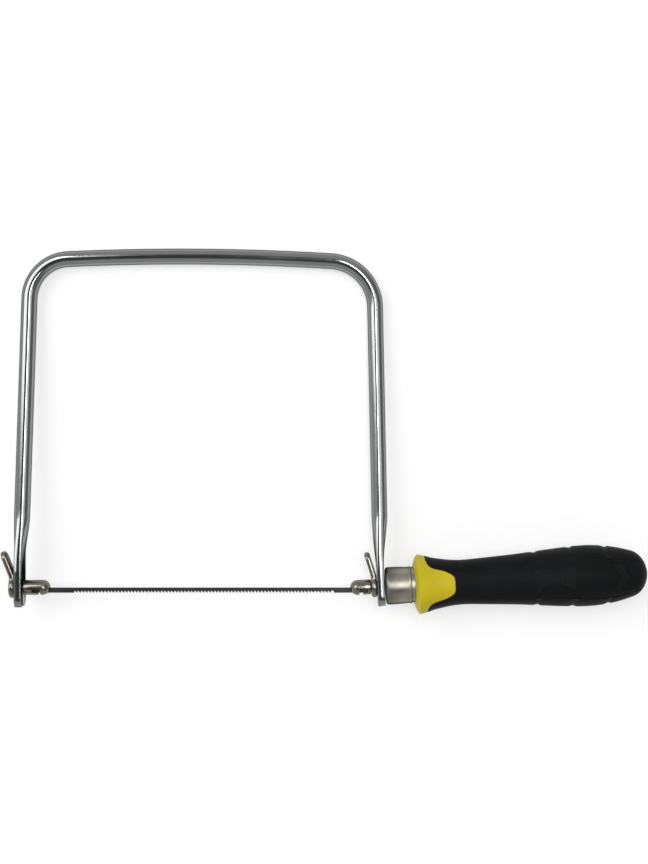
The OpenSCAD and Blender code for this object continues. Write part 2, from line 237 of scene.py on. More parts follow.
class Finishes(bpy.types.PropertyGroup):
    """Colours and gloss of the finishes."""
    chrome: colour("Chrome", "Colour of the plated bow", 0.282, 0.29, 0.289)
    chrome_rough: share("Chrome roughness", "Roughness of the plated bow", 0.09)
    nickel: colour("Nickel", "Colour of the holders and levers", 0.21, 0.202, 0.163)
    nickel_rough: share("Nickel roughness", "Roughness of the holders and levers", 0.17)
    ferrule: colour("Ferrule", "Colour of the ferrule", 0.19, 0.18, 0.152)
    ferrule_rough: share("Ferrule roughness", "Roughness of the ferrule", 0.33)
    blued: colour("Blued steel", "Colour of the blade and its pins", 0.022, 0.022, 0.026)
    straw: colour("Heat tint", "Colour of the blade's warmer patches", 0.036, 0.032, 0.03)
    ground: colour("Ground steel", "Colour of the ground teeth", 0.045, 0.044, 0.046)
    hard: colour("Hard plastic", "Colour of the rim and the tongues", 0.55, 0.44, 0.0072)
    soft: colour("Soft grip", "Colour of the soft grip", 0.0062, 0.0067, 0.0071)
    nut: colour("Nut", "Colour of the plated nut", 0.5, 0.48, 0.42)
    nut_rough: share("Nut roughness", "Roughness of the plated nut", 0.3)


class StageSettings(bpy.types.PropertyGroup):
    """Floor, light and camera."""
    field: length("Field", "Height of the picture at the saw", 438)
    distance: length("Distance", "Distance of the camera", 680)
    aim_x: length("Aim along", "Point at the picture's middle, along the blade", 62.7)
    aim_y: length("Aim across", "Point at the picture's middle, across the blade", 78.75)
    floor: colour("Floor", "Colour of the floor", 0.46, 0.46, 0.46)
    floor_lift: share("Floor lift", "Whiteness added to the floor where it is seen", 0.56)
    wall_glow: glow("Walls", "Radiance of the room's walls", 0.62)
    dark_glow: glow("Dark wall", "Radiance of the handle-side wall", 0.3)
    top_glow: glow("Overhead", "Radiance round the camera", 0.1)
    left_glow: glow("Left box", "Radiance of the left soft box", 2.95)
    right_glow: glow("Right box", "Radiance of the right soft box", 1.5)
    lamp_glow: glow("Lamp", "Radiance of the strip lamp overhead", 16)
    far_glow: glow("Far lamp", "Radiance of the far end's small lamp", 10)


class SawSettings(bpy.types.PropertyGroup):
    """All settings of the saw."""
    bow: PointerProperty(name="Bow", description="Sizes of the bow", type=BowSizes)
    blade: PointerProperty(name="Blade", description="Sizes of the blade", type=BladeSizes)
    holder: PointerProperty(name="Holders", description="Sizes of the holders", type=HolderSizes)
    lever: PointerProperty(name="Levers", description="Sizes of the levers", type=LeverSizes)
    handle: PointerProperty(name="Handle", description="Sizes of the handle", type=HandleSizes)
    finish: PointerProperty(name="Finishes", description="Colours and gloss", type=Finishes)
    stage: PointerProperty(name="Stage", description="Floor, light and camera", type=StageSettings)


def mix(low, high, part):
    """Value or point between two others."""
    return low + (high - low) * part


def ease(part):
    """Soft step from nothing to one."""
    part = min(max(part, 0), 1)
    return part * part * (3 - 2 * part)


def curve_point(before, start, end, after, part):
    """Point of a smooth curve through four points, between the middle two."""
    return 0.5 * (2 * start + (end - before) * part
                  + (2 * before - 5 * start + 4 * end - after) * part ** 2
                  + (3 * start - before - 3 * end + after) * part ** 3)


def smooth_line(points, steps):
    """Smooth line through the given points."""
    last = len(points) - 1
    line = []
    for k in range(last):
        four = [Vector(points[min(max(k + shift, 0), last)]) for shift in (-1, 0, 1, 2)]
        line += [curve_point(*four, step / steps) for step in range(steps)]
    return line + [Vector(points[last])]


def even_line(line, count):
    """The same line with evenly spaced points."""
    runs = [0]
    for here, there in zip(line, line[1:]):
        runs.append(runs[-1] + (there - here).length)
    even = []
    for k in range(count + 1):
        run = runs[-1] * k / count
        spot = min(max(bisect.bisect_right(runs, run) - 1, 0), len(line) - 2)
        span = runs[spot + 1] - runs[spot]
        even.append(mix(line[spot], line[spot + 1], (run - runs[spot]) / span if span else 0))
    return even


def bridge(bm, low, high):
    """Faces between two closed rows of points. A row of one point is a pole."""
    count = max(len(low), len(high))
    for k in range(count):
        after = (k + 1) % count
        corners = [low[k % len(low)], low[after % len(low)], high[after % len(high)], high[k % len(high)]]
        corners = list(dict.fromkeys(corners))
        if len(corners) > 2:
            bm.faces.new(corners)


def add_rows(bm, rows):
    """Skin through rows of (station, angle, radius), with a pole where the radius is nothing."""
    made = []
    for row in rows:
        if max(radius for station, turn, radius in row) < POLE:
            made.append([bm.verts.new((row[0][0], 0, 0))])
            continue
        made.append([bm.verts.new((s, r * math.sin(t), r * math.cos(t))) for s, t, r in row])
    for low, high in zip(made, made[1:]):
        bridge(bm, low, high)
    return made


def turned(bm, profile, segments, closed=False):
    """Turns (station, radius) pairs about the X axis."""
    turns = [2 * math.pi * k / segments for k in range(segments)]
    rows = [[(station, turn, radius) for turn in turns] for station, radius in profile]
    made = add_rows(bm, rows)
    if closed:
        bridge(bm, made[-1], made[0])


def round_corner(center, radius, start, end, steps):
    """Points of an arc, as (station, radius) pairs, from one angle to another in degrees."""
    turns = [math.radians(mix(start, end, k / steps)) for k in range(steps + 1)]
    return [(center[0] + radius * math.cos(turn), center[1] + radius * math.sin(turn)) for turn in turns]


def box_cutter(bm, low, high):
    """Closed box between two corners."""
    made = bmesh.ops.create_cube(bm, size=1)
    for vert in made["verts"]:
        vert.co = Vector([high[k] if vert.co[k] > 0 else low[k] for k in range(3)])


def mesh_from(bm, name):
    """Plain mesh from a bmesh, with merged doubles and faces that point outwards."""
    bmesh.ops.remove_doubles(bm, verts=bm.verts, dist=MERGE)
    bmesh.ops.recalc_face_normals(bm, faces=bm.faces)
    mesh = bpy.data.meshes.new(name)
    bm.to_mesh(mesh)
    bm.free()
    return mesh


def new_object(mesh, name):
    """Object in the scene that shows a mesh."""
    made = bpy.data.objects.new(name, mesh)
    bpy.context.scene.collection.objects.link(made)
    return made


def apply_modifiers(piece):
    """Turns an object's modifiers into plain mesh."""
    graph = bpy.context.evaluated_depsgraph_get()
    mesh = bpy.data.meshes.new_from_object(piece.evaluated_get(graph))
    old = piece.data
    piece.modifiers.clear()
    piece.data = mesh
    bpy.data.meshes.remove(old)


def finish_piece(piece, place, node, body, slot, *materials):
    """Puts a piece in its place on the frame, in its material, riding on its body."""
    mesh = piece.data
    bm = bmesh.new()
    bm.from_mesh(mesh)
    bm.transform(place)
    if place.determinant() < 0:
        bmesh.ops.reverse_faces(bm, faces=bm.faces)
    bm.to_mesh(mesh)
    bm.free()
    if materials:
        mesh.materials.clear()
        for material in materials:
            mesh.materials.append(material)
    mesh.shade_smooth()
    mesh.set_sharp_from_angle(angle=SHARP)
    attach(piece, body)
    if node:
        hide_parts(node)


# Finishes

NOISE_LOW = 0.3
NOISE_HIGH = 0.7
FINE = 0.03 * MM
GRAIN = 0.05 * MM


def start_material(name):
    """New node material, with its tree and its shader."""
    material = bpy.data.materials.new(name)
    material.use_nodes = True
    return material, material.node_tree, material.node_tree.nodes["Principled BSDF"]


def add_node(tree, kind, inputs=None, **settings):
    """Node with its settings, and with its inputs set or linked."""
    made = tree.nodes.new(kind)
    for key, value in settings.items():
        setattr(made, key, value)
    set_inputs(tree, made, inputs or {})
    return made


def set_inputs(tree, node, inputs):
    """Sets or links the inputs of a node."""
    for key, value in inputs.items():
        if isinstance(value, bpy.types.NodeSocket):
            tree.links.new(value, node.inputs[key])
        else:
            node.inputs[key].default_value = value


def object_space(tree, place=None, stretch=None):
    """Object coordinates, turned into a place's own axes and stretched."""
    spot = add_node(tree, "ShaderNodeTexCoord").outputs["Object"]
    if place:
        turn = place.inverted().to_euler()
        spot = add_node(tree, "ShaderNodeMapping", {"Vector": spot, "Rotation": turn}).outputs[0]
    if stretch:
        spot = add_node(tree, "ShaderNodeMapping", {"Vector": spot, "Scale": stretch}).outputs[0]
    return spot


def spread(tree, value, low=0.0, high=1.0, start=0.0, end=1.0, kind="LINEAR"):
    """Value brought from one range to another and held at its ends."""
    ends = {"From Min": start, "From Max": end, "To Min": low, "To Max": high}
    made = add_node(tree, "ShaderNodeMapRange", {"Value": value, **ends}, interpolation_type=kind)
    return made.outputs[0]


def noise(tree, where, scale, detail=2.0, low=0.0, high=1.0):
    """Noise stretched between two values."""
    made = add_node(tree, "ShaderNodeTexNoise", {"Vector": where, "Scale": scale, "Detail": detail})
    return spread(tree, made.outputs[0], low, high, NOISE_LOW, NOISE_HIGH)


def blend_colour(tree, part, first, second):
    """Colour between two others, each a colour or a node's output."""
    ends = [value if isinstance(value, bpy.types.NodeSocket) else (*value, 1) for value in (first, second)]
    made = add_node(tree, "ShaderNodeMix", data_type="RGBA", clamp_factor=True)
    set_inputs(tree, made, {0: part, 6: ends[0], 7: ends[1]})
    return made.outputs[2]


def shade(colour_value, factor):
    """Lighter or darker form of a colour."""
    return tuple(min(part * factor, 1) for part in colour_value)


def mottled(tree, part, tone, dark, light):
    """Colour that wanders between a darker and a lighter form of a tone."""
    return blend_colour(tree, part, shade(tone, dark), shade(tone, light))


def bump(tree, height, strength, depth, below=None):
    """Bump from a height, on top of another bump."""
    made = add_node(tree, "ShaderNodeBump", {"Height": height, "Strength": strength, "Distance": depth})
    if below:
        tree.links.new(below, made.inputs["Normal"])
    return made.outputs[0]


def chrome_finish(finish):
    """Bright plating over polished steel: faint haze, slow waves and fine polishing marks."""
    material, tree, shader = start_material("bow_chrome")
    spot = object_space(tree, SAW)
    haze = noise(tree, spot, scale=34, detail=4)
    marks = noise(tree, spot, scale=1400, detail=3)
    waves = noise(tree, spot, scale=160)
    normal = bump(tree, waves, strength=0.025, depth=0.3 * MM)
    normal = bump(tree, marks, strength=0.03, depth=FINE, below=normal)
    rough = finish.chrome_rough
    set_inputs(tree, shader, {
        "Base Color": mottled(tree, haze, finish.chrome, dark=0.95, light=1.04),
        "Roughness": spread(tree, haze, low=rough * 0.8, high=rough * 1.5),
        "Normal": normal, "Metallic": 1.0, "Specular Tint": (0.1, 0.1, 0.1, 1)})
    return material


def nickel_finish(name, tone, rough, place, rings, edge_tone=0.4, highlight_band=None):
    """Satin nickel, turned: fine rings round the axis, dull patches and small pits.

    The optional band gives two stations along the axis. Between them the colour brightens in a ring, which is
    a painted highlight."""
    material, tree, shader = start_material(name)
    spot = object_space(tree, place)
    patch = noise(tree, spot, scale=120, detail=4)
    pits = noise(tree, spot, scale=900)
    lines = noise(tree, object_space(tree, place, stretch=(1, 0.04, 0.04)), scale=2600)
    normal = bump(tree, lines, strength=rings, depth=FINE)
    normal = bump(tree, pits, strength=0.06, depth=GRAIN, below=normal)
    base = mottled(tree, patch, tone, dark=0.86, light=1.08)
    # Painted highlight: the base colour is brighter in a ring between the band's two stations
    if highlight_band:
        along = add_node(tree, "ShaderNodeSeparateXYZ", {0: spot}).outputs[0]
        start, end = (place.translation.dot(place.col[0].xyz) + station for station in highlight_band)
        painted_highlight = spread(tree, along, start=start, end=end, kind="SMOOTHSTEP")
        base = blend_colour(tree, painted_highlight, base, mottled(tree, patch, tone, dark=1.5, light=1.8))
    set_inputs(tree, shader, {
        "Base Color": base, "Roughness": spread(tree, patch, low=rough * 0.85, high=rough * 1.3),
        "Normal": normal, "Metallic": 1.0, "Specular Tint": (edge_tone, edge_tone, edge_tone * 0.95, 1)})
    return material


def blued_finish(finish):
    """Dark hardened steel with rolling lines along it and faint heat tints."""
    material, tree, shader = start_material("blued_steel")
    tint = noise(tree, object_space(tree, SAW), scale=60, detail=3)
    lines = noise(tree, object_space(tree, SAW, stretch=(0.03, 1, 1)), scale=2400, detail=3)
    set_inputs(tree, shader, {
        "Base Color": blend_colour(tree, tint, shade(finish.blued, 0.8), finish.straw),
        "Roughness": spread(tree, lines, low=0.32, high=0.5),
        "Normal": bump(tree, lines, strength=0.15, depth=FINE), "Metallic": 0.6})
    return material


def ground_finish(finish):
    """Freshly ground steel of the teeth, with grinding lines across them."""
    material, tree, shader = start_material("ground_teeth")
    lines = noise(tree, object_space(tree, SAW, stretch=(1, 0.05, 1)), scale=5200)
    set_inputs(tree, shader, {
        "Base Color": mottled(tree, lines, finish.ground, dark=0.7, light=1.2),
        "Roughness": 0.38, "Metallic": 1.0, "Normal": bump(tree, lines, strength=0.2, depth=FINE)})
    return material


def hard_finish(finish):
    """Moulded hard plastic: a fine satin skin with slight clouding."""
    material, tree, shader = start_material("yellow_plastic")
    spot = object_space(tree, REAR)
    cloud = noise(tree, spot, scale=90, detail=3)
    skin = noise(tree, spot, scale=2600)
    waves = noise(tree, spot, scale=300)
    normal = bump(tree, waves, strength=0.03, depth=0.2 * MM)
    normal = bump(tree, skin, strength=0.1, depth=GRAIN, below=normal)
    set_inputs(tree, shader, {
        "Base Color": mottled(tree, cloud, finish.hard, dark=0.93, light=1.05),
        "Roughness": spread(tree, cloud, low=0.4, high=0.52), "Normal": normal, "Specular IOR Level": 0.3})
    return material


def soft_finish(name, tone, gloss):
    """Moulded soft grip: fine leathery grain, matte, with faint dusty specks."""
    material, tree, shader = start_material(name)
    spot = object_space(tree, REAR)
    cell = add_node(tree, "ShaderNodeTexVoronoi", {"Vector": spot, "Scale": 1500.0}, feature="SMOOTH_F1")
    grain = noise(tree, spot, scale=1900, detail=4)
    cloud = noise(tree, spot, scale=55, detail=3)
    specks = noise(tree, spot, scale=3200, detail=1, low=-3.0)
    normal = bump(tree, cell.outputs[0], strength=0.35, depth=0.09 * MM)
    normal = bump(tree, grain, strength=0.25, depth=GRAIN, below=normal)
    base = mottled(tree, cloud, tone, dark=0.85, light=1.15)
    set_inputs(tree, shader, {
        "Base Color": blend_colour(tree, specks, base, shade(tone, 2.2)),
        "Roughness": spread(tree, cloud, low=0.46, high=0.56), "Normal": normal, "Specular IOR Level": gloss})
    return material


def finish_named(name, settings):
    """The finish with that name, made once."""
    made = bpy.data.materials.get(name + "_finish")
    if made:
        return made
    finish = settings.finish
    handle = settings.handle
    # Stations of the ferrule's painted highlight: a brighter ring of base colour that stands in for the
    # lamp's highlight
    highlight_stations = (handle.ferrule_at + 0.1 * MM, handle.ferrule_at + 9.1 * MM)
    makers = {
        "chrome": lambda: chrome_finish(finish),
        "front_nickel": lambda: nickel_finish("nickel", finish.nickel, finish.nickel_rough, SAW, rings=0.1),
        "rear_nickel": lambda: nickel_finish("nickel", finish.nickel, finish.nickel_rough, REAR, rings=0.1),
        "ferrule": lambda: nickel_finish("ferrule_nickel", finish.ferrule, finish.ferrule_rough, REAR,
                                         rings=0.22, edge_tone=0.1, highlight_band=highlight_stations),
        "blued": lambda: blued_finish(finish),
        "ground": lambda: ground_finish(finish),
        "hard": lambda: hard_finish(finish),
        "soft": lambda: soft_finish("black_rubber", finish.soft, gloss=0.05),
        # The dots are a lighter tone of the grip's colour: a painted sheen that stands in for their glints
        "dots": lambda: soft_finish("rubber_dots", shade(finish.soft, 1.25), gloss=0.14),
        "nut": lambda: nickel_finish("nut_steel", finish.nut, finish.nut_rough, REAR, rings=0.12),
    }
    made = makers[name]()
    made.name = name + "_finish"
    return made


# Bow

FLAT_EDGE = 0.3
FACE_STEPS = 12
HALF_FACE = FACE_STEPS // 2
EDGE_STEPS = 10
HALF_RING = FACE_STEPS + EDGE_STEPS
FULL_RING = 2 * HALF_RING
SAW_UP = Vector((0, 1))
SAW_OUT = Vector((-1, 0))
TILT_UP = Vector((-math.sin(handle_tilt), math.cos(handle_tilt)))
TILT_OUT = Vector((math.cos(handle_tilt), math.sin(handle_tilt)))


def edge_spot(turn):
    """Point of a fork's edge over half a turn, flatter than a half circle, as (across, out) parts."""
    across, out = math.cos(turn), max(math.sin(turn), 0)
    return math.copysign(abs(across) ** FLAT_EDGE, across), out ** FLAT_EDGE


def rod_ring(bow, roundness):
    """Section of the rod as (across, out) pairs, from the flat fork at 0 to the round rod at 1."""
    half_t = bow.fork_t / 2
    edge = bow.fork_w / 2 - half_t
    step = math.pi / HALF_RING
    ring = []
    for k in range(FULL_RING):
        side = 1 if k < HALF_RING else -1
        spot = k % HALF_RING
        if spot < FACE_STEPS:
            flat = (half_t, mix(-edge, edge, spot / FACE_STEPS))
        else:
            across, out = edge_spot(math.pi * (spot - FACE_STEPS) / EDGE_STEPS)
            flat = (half_t * across, edge + half_t * out)
        turn = step * (spot - FACE_STEPS / 2)
        disc = (bow.rod_d / 2 * math.cos(turn), bow.rod_d / 2 * math.sin(turn))
        ring.append(side * mix(Vector(flat), Vector(disc), roundness))
    return ring


class BowLine:
    """Middle line of the bow, in the saw's own plane."""

    def __init__(self, bow, pin_to_fork):
        self.bow = bow
        half_span = pin_span / 2
        fork_out = half_span + pin_to_fork + bow.fork_t / 2
        self.front_foot = Vector((-fork_out, 0))
        self.rear_foot = Vector((half_span, 0)) + (fork_out - half_span) * TILT_OUT
        self.front_way = Vector((math.sin(bow.front_lean), math.cos(bow.front_lean)))
        self.rear_way = Vector((-math.sin(bow.rear_lean), math.cos(bow.rear_lean)))
        self.arch_center = Vector((bow.crown, bow.rise - bow.arch))
        front_side = Vector((self.front_way.y, -self.front_way.x))
        rear_side = Vector((-self.rear_way.y, self.rear_way.x))
        self.front_rise = self.leg_rise(self.front_foot, self.front_way, front_side, bow.front_bend)
        self.rear_rise = self.leg_rise(self.rear_foot, self.rear_way, rear_side, bow.rear_bend)
        self.front_center = self.front_foot + self.front_rise * self.front_way + bow.front_bend * front_side
        self.rear_center = self.rear_foot + self.rear_rise * self.rear_way + bow.rear_bend * rear_side

    def leg_rise(self, foot, way, side, bend_r):
        """Length of a leg up to its bend, so that the bend meets the arch."""
        start = foot + bend_r * side - self.arch_center
        along = start.dot(way)
        reach = self.bow.arch - bend_r
        return -along + math.sqrt(along * along - start.dot(start) + reach * reach)

    def stations(self):
        """(middle, outward way, roundness) of each ring, from the far fork round to the handle fork."""
        bow = self.bow
        bend_steps = 28
        back_steps = 40
        front = self.leg(self.front_foot, SAW_UP, self.front_way, self.front_rise, 1)
        rear = self.leg(self.rear_foot, TILT_UP, self.rear_way, self.rear_rise, -1)
        front_top = self.front_center - self.arch_center
        rear_top = self.rear_center - self.arch_center
        front_turn = math.atan2(front_top.y, front_top.x)
        rear_turn = math.atan2(rear_top.y, rear_top.x)
        middle = self.arc(self.front_center, bow.front_bend, math.pi - bow.front_lean, front_turn, bend_steps)
        middle += self.arc(self.arch_center, bow.arch, front_turn, rear_turn, back_steps)[1:-1]
        middle += self.arc(self.rear_center, bow.rear_bend, rear_turn, bow.rear_lean, bend_steps)
        return front + middle[1:-1] + rear[::-1]

    def leg(self, foot, up, way, rise, side):
        """Rings of one leg, from the top of its flat fork to its bend."""
        bow = self.bow
        neck_steps = 22
        rod_steps = 26
        ease_share = 0.35
        rings = []
        for k in range(neck_steps + 1):
            part = k / neck_steps
            height = mix(bow.flat_to, bow.round_from, part)
            lean = ease(part)
            middle = mix(foot + up * height, foot + way * height, lean)
            heading = mix(up, way, lean).normalized()
            rings.append((middle, side * Vector((-heading.y, heading.x)), mix(part, lean, ease_share)))
        for k in range(1, rod_steps + 1):
            height = mix(bow.round_from, rise, k / rod_steps)
            rings.append((foot + way * height, side * Vector((-way.y, way.x)), 1))
        return rings

    def arc(self, center, radius, start, end, steps):
        """Rings round one bend."""
        rings = []
        for k in range(steps + 1):
            turn = mix(start, end, k / steps)
            out = Vector((math.cos(turn), math.sin(turn)))
            rings.append((center + radius * out, out, 1))
        return rings


def slot_wall(bow):
    """(across, offset) of the slot's wall from one face of the fork to the other, with rounded edges."""
    half = bow.fork_t / 2
    edge = bow.slot_edge
    round_in = 0.3 * edge
    near = [(half, edge), (half - round_in, round_in), (half - edge, 0)]
    return near + [(0, 0)] + [(-across, offset) for across, offset in near[::-1]]


def prong_section(bow, wall, spot, low_y, half_w):
    """Ring of one prong: its outer face, rounded edge, inner face and the slot's wall between them.

    spot gives the slot's wall point for an offset, as (height, out)."""
    half = bow.fork_t / 2
    inner = spot(bow.slot_edge)
    most_round = 0.8
    round_z = min(half, (half_w - inner[1]) * most_round)
    shoulder = Vector((low_y, half_w - round_z))
    face = [mix(Vector(inner), shoulder, k / HALF_FACE) for k in range(HALF_FACE + 1)]
    ring = [(half, point.x, point.y) for point in face]
    for k in range(1, EDGE_STEPS):
        across, out = edge_spot(math.pi * k / EDGE_STEPS)
        ring.append((half * across, low_y, half_w - round_z + round_z * out))
    ring += [(-half, point.x, point.y) for point in face[::-1]]
    return ring + [(across, *spot(offset)) for across, offset in wall[-2:0:-1]]


def prong_sections(bow):
    """Rings of one prong from the top of the slot to the tip, as (across, height, out)."""
    wall = slot_wall(bow)
    slot_r = bow.slot_w / 2
    crest = slot_r + bow.slot_edge
    crest_wall = 0.45 * MM
    least_wall = 0.5 * MM
    half_w = bow.fork_w / 2
    tip_r = bow.fork_w * 0.34
    arch_steps, plain_steps, tip_steps = 9, 5, 9
    sections = []
    for k in range(arch_steps + 1):
        turn = math.pi / 2 * k / arch_steps

        def arch_spot(offset, turn=turn):
            return (slot_r + offset) * math.cos(turn), (slot_r + offset) * math.sin(turn)
        sections.append(prong_section(bow, wall, arch_spot, (crest + crest_wall) * math.cos(turn), half_w))
    shoulder = -bow.fork_drop + tip_r
    heights = [shoulder * k / plain_steps for k in range(1, plain_steps + 1)]
    heights += [shoulder - tip_r * math.sin(math.pi / 2 * k / tip_steps) for k in range(1, tip_steps)]
    for height in heights:
        drop = max(shoulder - height, 0)
        width = half_w - tip_r + math.sqrt(max(tip_r ** 2 - drop ** 2, 0))

        def side_spot(offset, height=height):
            return height, slot_r + offset
        sections.append(prong_section(bow, wall, side_spot, height, max(width, crest + least_wall)))
    return sections + prong_cap(bow, sections[-1])


def prong_cap(bow, last):
    """Rings that close the tip of a prong below its last section, each smaller and lower."""
    middle = Vector([sum(point[k] for point in last) / len(last) for k in range(3)])
    middle.y = -bow.fork_drop
    cap_steps = ((0.9, 0.6), (0.7, 1))
    rings = []
    for shrink, part in cap_steps:
        height = mix(last[0][1], middle.y, part)
        spots = [mix(middle, Vector(point), shrink) for point in last]
        rings.append([(spot.x, height, spot.z) for spot in spots])
    return rings


def add_fork(bm, bow, foot, up, out, ring):
    """Slotted fork below the last full ring of a leg."""
    def spot(across, height, sideways):
        flat = foot + up * height + out * across
        return bm.verts.new((flat.x, flat.y, sideways))
    sections = prong_sections(bow)
    first = sections[0]
    count = HALF_RING + 1
    steps_down = (0.4, 0.75, 1)
    for part in steps_down:
        row = []
        for k in range(FULL_RING):
            shift = k - HALF_FACE
            mirror = shift < 0 or shift > HALF_RING
            across, height, sideways = first[min(abs(shift), FULL_RING - shift)]
            row.append(spot(across, mix(bow.flat_to, height, part), -sideways if mirror else sideways))
        bridge(bm, ring, row)
        ring = row
    crest = [spot(*point) for point in first[count:]]
    for side in (1, -1):
        top = [ring[(HALF_FACE + side * k) % FULL_RING] for k in range(count)] + crest
        for section in sections[1:]:
            row = [spot(across, height, side * sideways) for across, height, sideways in section]
            bridge(bm, top, row)
            top = row
        bm.faces.new(top)


def build_bow(settings, pin_to_fork):
    """Whole bow as one closed skin."""
    bow = settings.bow
    line = BowLine(bow, pin_to_fork)
    bm = bmesh.new()
    rows = []
    sections = {}
    for middle, out, roundness in line.stations():
        if roundness not in sections:
            sections[roundness] = rod_ring(bow, roundness)
        row = []
        for across, sideways in sections[roundness]:
            flat = middle + out * across
            row.append(bm.verts.new((flat.x, flat.y, sideways)))
        rows.append(row)
    for low, high in zip(rows, rows[1:]):
        bridge(bm, low, high)
    add_fork(bm, bow, line.front_foot, SAW_UP, SAW_OUT, rows[0])
    add_fork(bm, bow, line.rear_foot, TILT_UP, TILT_OUT, rows[-1])
    return mesh_from(bm, "bow_rod")


class SAW_OT_bow(bpy.types.Operator):
    """Make the plated bow with its two slotted forks"""
    bl_idname = "saw.bow"
    bl_label = "Bow"

    def execute(self, context):
        settings = context.scene.saw
        lever_gap = 0.2 * MM
        pin_to_fork = settings.lever.front_at - lever_gap - settings.bow.fork_t
        piece = new_object(build_bow(settings, pin_to_fork), "bow_rod")
        finish_piece(piece, SAW, "bow_frame", "bow", "bow_chrome", finish_named("chrome", settings))
        return {"FINISHED"}


# Blade holders

FLAT_STEP = 0.02 * MM
FLATS_LEAD = 0.1 * MM
FLATS_GAP = 0.2 * MM
BEVEL_ANGLE = math.radians(40)
SLIVER = 0.002 * MM
LARGEST_GAP = 8


def holder_profile(holder, body_end, end, keyed):
    """Outline of a holder: round nose, body, shoulder and neck, with a step at each end of its flats."""
    body_r = holder.body_d / 2
    neck_r = holder.neck_d / 2
    bevel = 0.35 * MM
    fillet = 0.25 * MM
    nose_steps = 16
    line = round_corner((body_r - holder.nose_len, 0), body_r, 180, 90, nose_steps)
    line[0] = (line[0][0], 0)
    line += [(body_end / 2, body_r)]
    line += round_corner((body_end - bevel, body_r - bevel), bevel, 90, 0, CORNER_STEPS)
    line += [(body_end, neck_r + fillet), (body_end + fillet, neck_r)]
    for station in keyed:
        if body_end + bevel < station < end - bevel:
            line += [(station - FLAT_STEP, neck_r), (station + FLAT_STEP, neck_r)]
    line += round_corner((end - bevel, neck_r - bevel), bevel, 90, 0, CORNER_STEPS)
    return line + [(end, 0)]


def cut_away(piece, cutters):
    """Cuts closed boxes out of a piece."""
    tools = []
    for k, (low, high) in enumerate(cutters):
        tool_bm = bmesh.new()
        box_cutter(tool_bm, low, high)
        tools.append(new_object(mesh_from(tool_bm, f"cutter_{k}"), f"cutter_{k}"))
        change = piece.modifiers.new(f"cut_{k}", "BOOLEAN")
        change.operation = "DIFFERENCE"
        change.solver = "EXACT"
        change.object = tools[-1]
    apply_modifiers(piece)
    for tool in tools:
        mesh = tool.data
        bpy.data.objects.remove(tool)
        bpy.data.meshes.remove(mesh)


def round_edges(piece, width):
    """Rounds the sharp edges of a piece."""
    change = piece.modifiers.new("edges", "BEVEL")
    change.width = width
    change.segments = 2
    change.limit_method = "ANGLE"
    change.angle_limit = BEVEL_ANGLE
    apply_modifiers(piece)


def clean_up(piece, name):
    """Takes out the slivers that cutting and rounding leave, and closes the gaps."""
    bm = bmesh.new()
    bm.from_mesh(piece.data)
    bmesh.ops.remove_doubles(bm, verts=bm.verts, dist=SLIVER)
    bmesh.ops.dissolve_degenerate(bm, edges=bm.edges, dist=SLIVER)
    bmesh.ops.holes_fill(bm, edges=[edge for edge in bm.edges if edge.is_boundary], sides=LARGEST_GAP)
    piece.data = mesh_from(bm, name)


def build_holder(name, settings, body_end, end, keyed, way_w):
    """One holder with its blade slit and its seat for the pin."""
    holder = settings.holder
    bm = bmesh.new()
    turned(bm, holder_profile(holder, body_end, end, keyed), HOLDER_SIDES)
    flat = holder.key_across / 2
    for vert in bm.verts:
        if keyed[0] < vert.co.x < keyed[1]:
            vert.co.y = min(max(vert.co.y, -flat), flat)
    piece = new_object(mesh_from(bm, name), name)
    wide = holder.body_d
    seat_wide = wide * 1.1
    half_slit = holder.slit_w / 2
    half_way = way_w / 2
    pin_at = settings.blade.pin_out
    slit = ((-holder.nose_len - MM, -wide, -half_slit), (holder.slit_end, holder.slit_top, half_slit))
    way_in = ((pin_at - half_way, -wide, -wide), (pin_at + half_way, holder.seat_top, wide))
    seat = ((-holder.seat_nose, holder.seat_low, -seat_wide), (holder.seat_tail, holder.seat_top, seat_wide))
    cut_away(piece, (slit, way_in, seat))
    round_edges(piece, holder.edge)
    clean_up(piece, name)
    return piece


class SAW_OT_holders(bpy.types.Operator):
    """Make the two slit blade holders"""
    bl_idname = "saw.holders"
    bl_label = "Blade holders"

    def execute(self, context):
        settings = context.scene.saw
        holder = settings.holder
        key = (settings.lever.front_at - FLATS_LEAD, holder.front_end + MM)
        sizes = (holder.front_body_end, holder.front_end, key, holder.front_way)
        piece = build_holder("front_holder", settings, *sizes)
        finish = finish_named("front_nickel", settings)
        finish_piece(piece, FRONT, "front_spigot", "front_holder", "nickel", finish)
        key = (holder.rear_body_end + FLATS_GAP, holder.rear_key_end)
        sizes = (holder.rear_body_end, holder.rear_end, key, holder.rear_way)
        piece = build_holder("rear_holder", settings, *sizes)
        finish = finish_named("rear_nickel", settings)
        finish_piece(piece, REAR, "rear_spigot", "rear_holder", "nickel", finish)
        return {"FINISHED"}


# Levers

def arc_line(center, radius, start, end, steps):
    """Points of a flat arc between two angles in degrees."""
    return [Vector(point) for point in round_corner(center, radius, start, end, steps)]


def lever_outline(lever, reach):
    """Flat outline of a lever as (out, up) points: round base, two fillets and a round-ended tab."""
    base_steps, fillet_steps, tab_steps = 56, 6, 24
    base_r = lever.base_d / 2
    half = lever.tab_w / 2
    fillet = lever.fillet
    side = half + fillet
    high = math.sqrt((base_r + fillet) ** 2 - side ** 2)
    meet = math.degrees(math.atan2(high, side))
    line = arc_line((0, 0), base_r, 180 - meet, 360 + meet, base_steps)
    line += arc_line((side, high), fillet, 180 + meet, 180, fillet_steps)[1:]
    line += arc_line((0, reach - half), half, 0, 180, tab_steps)
    line += arc_line((-side, high), fillet, 0, -meet, fillet_steps)[:-1]
    return line


def key_outline(lever):
    """Round hole with two flats."""
    steps = 10
    turn = math.degrees(math.asin(lever.key_half / lever.key_r))
    right = arc_line((0, 0), lever.key_r, -turn, turn, steps)
    return right + arc_line((0, 0), lever.key_r, 180 - turn, 180 + turn, steps)


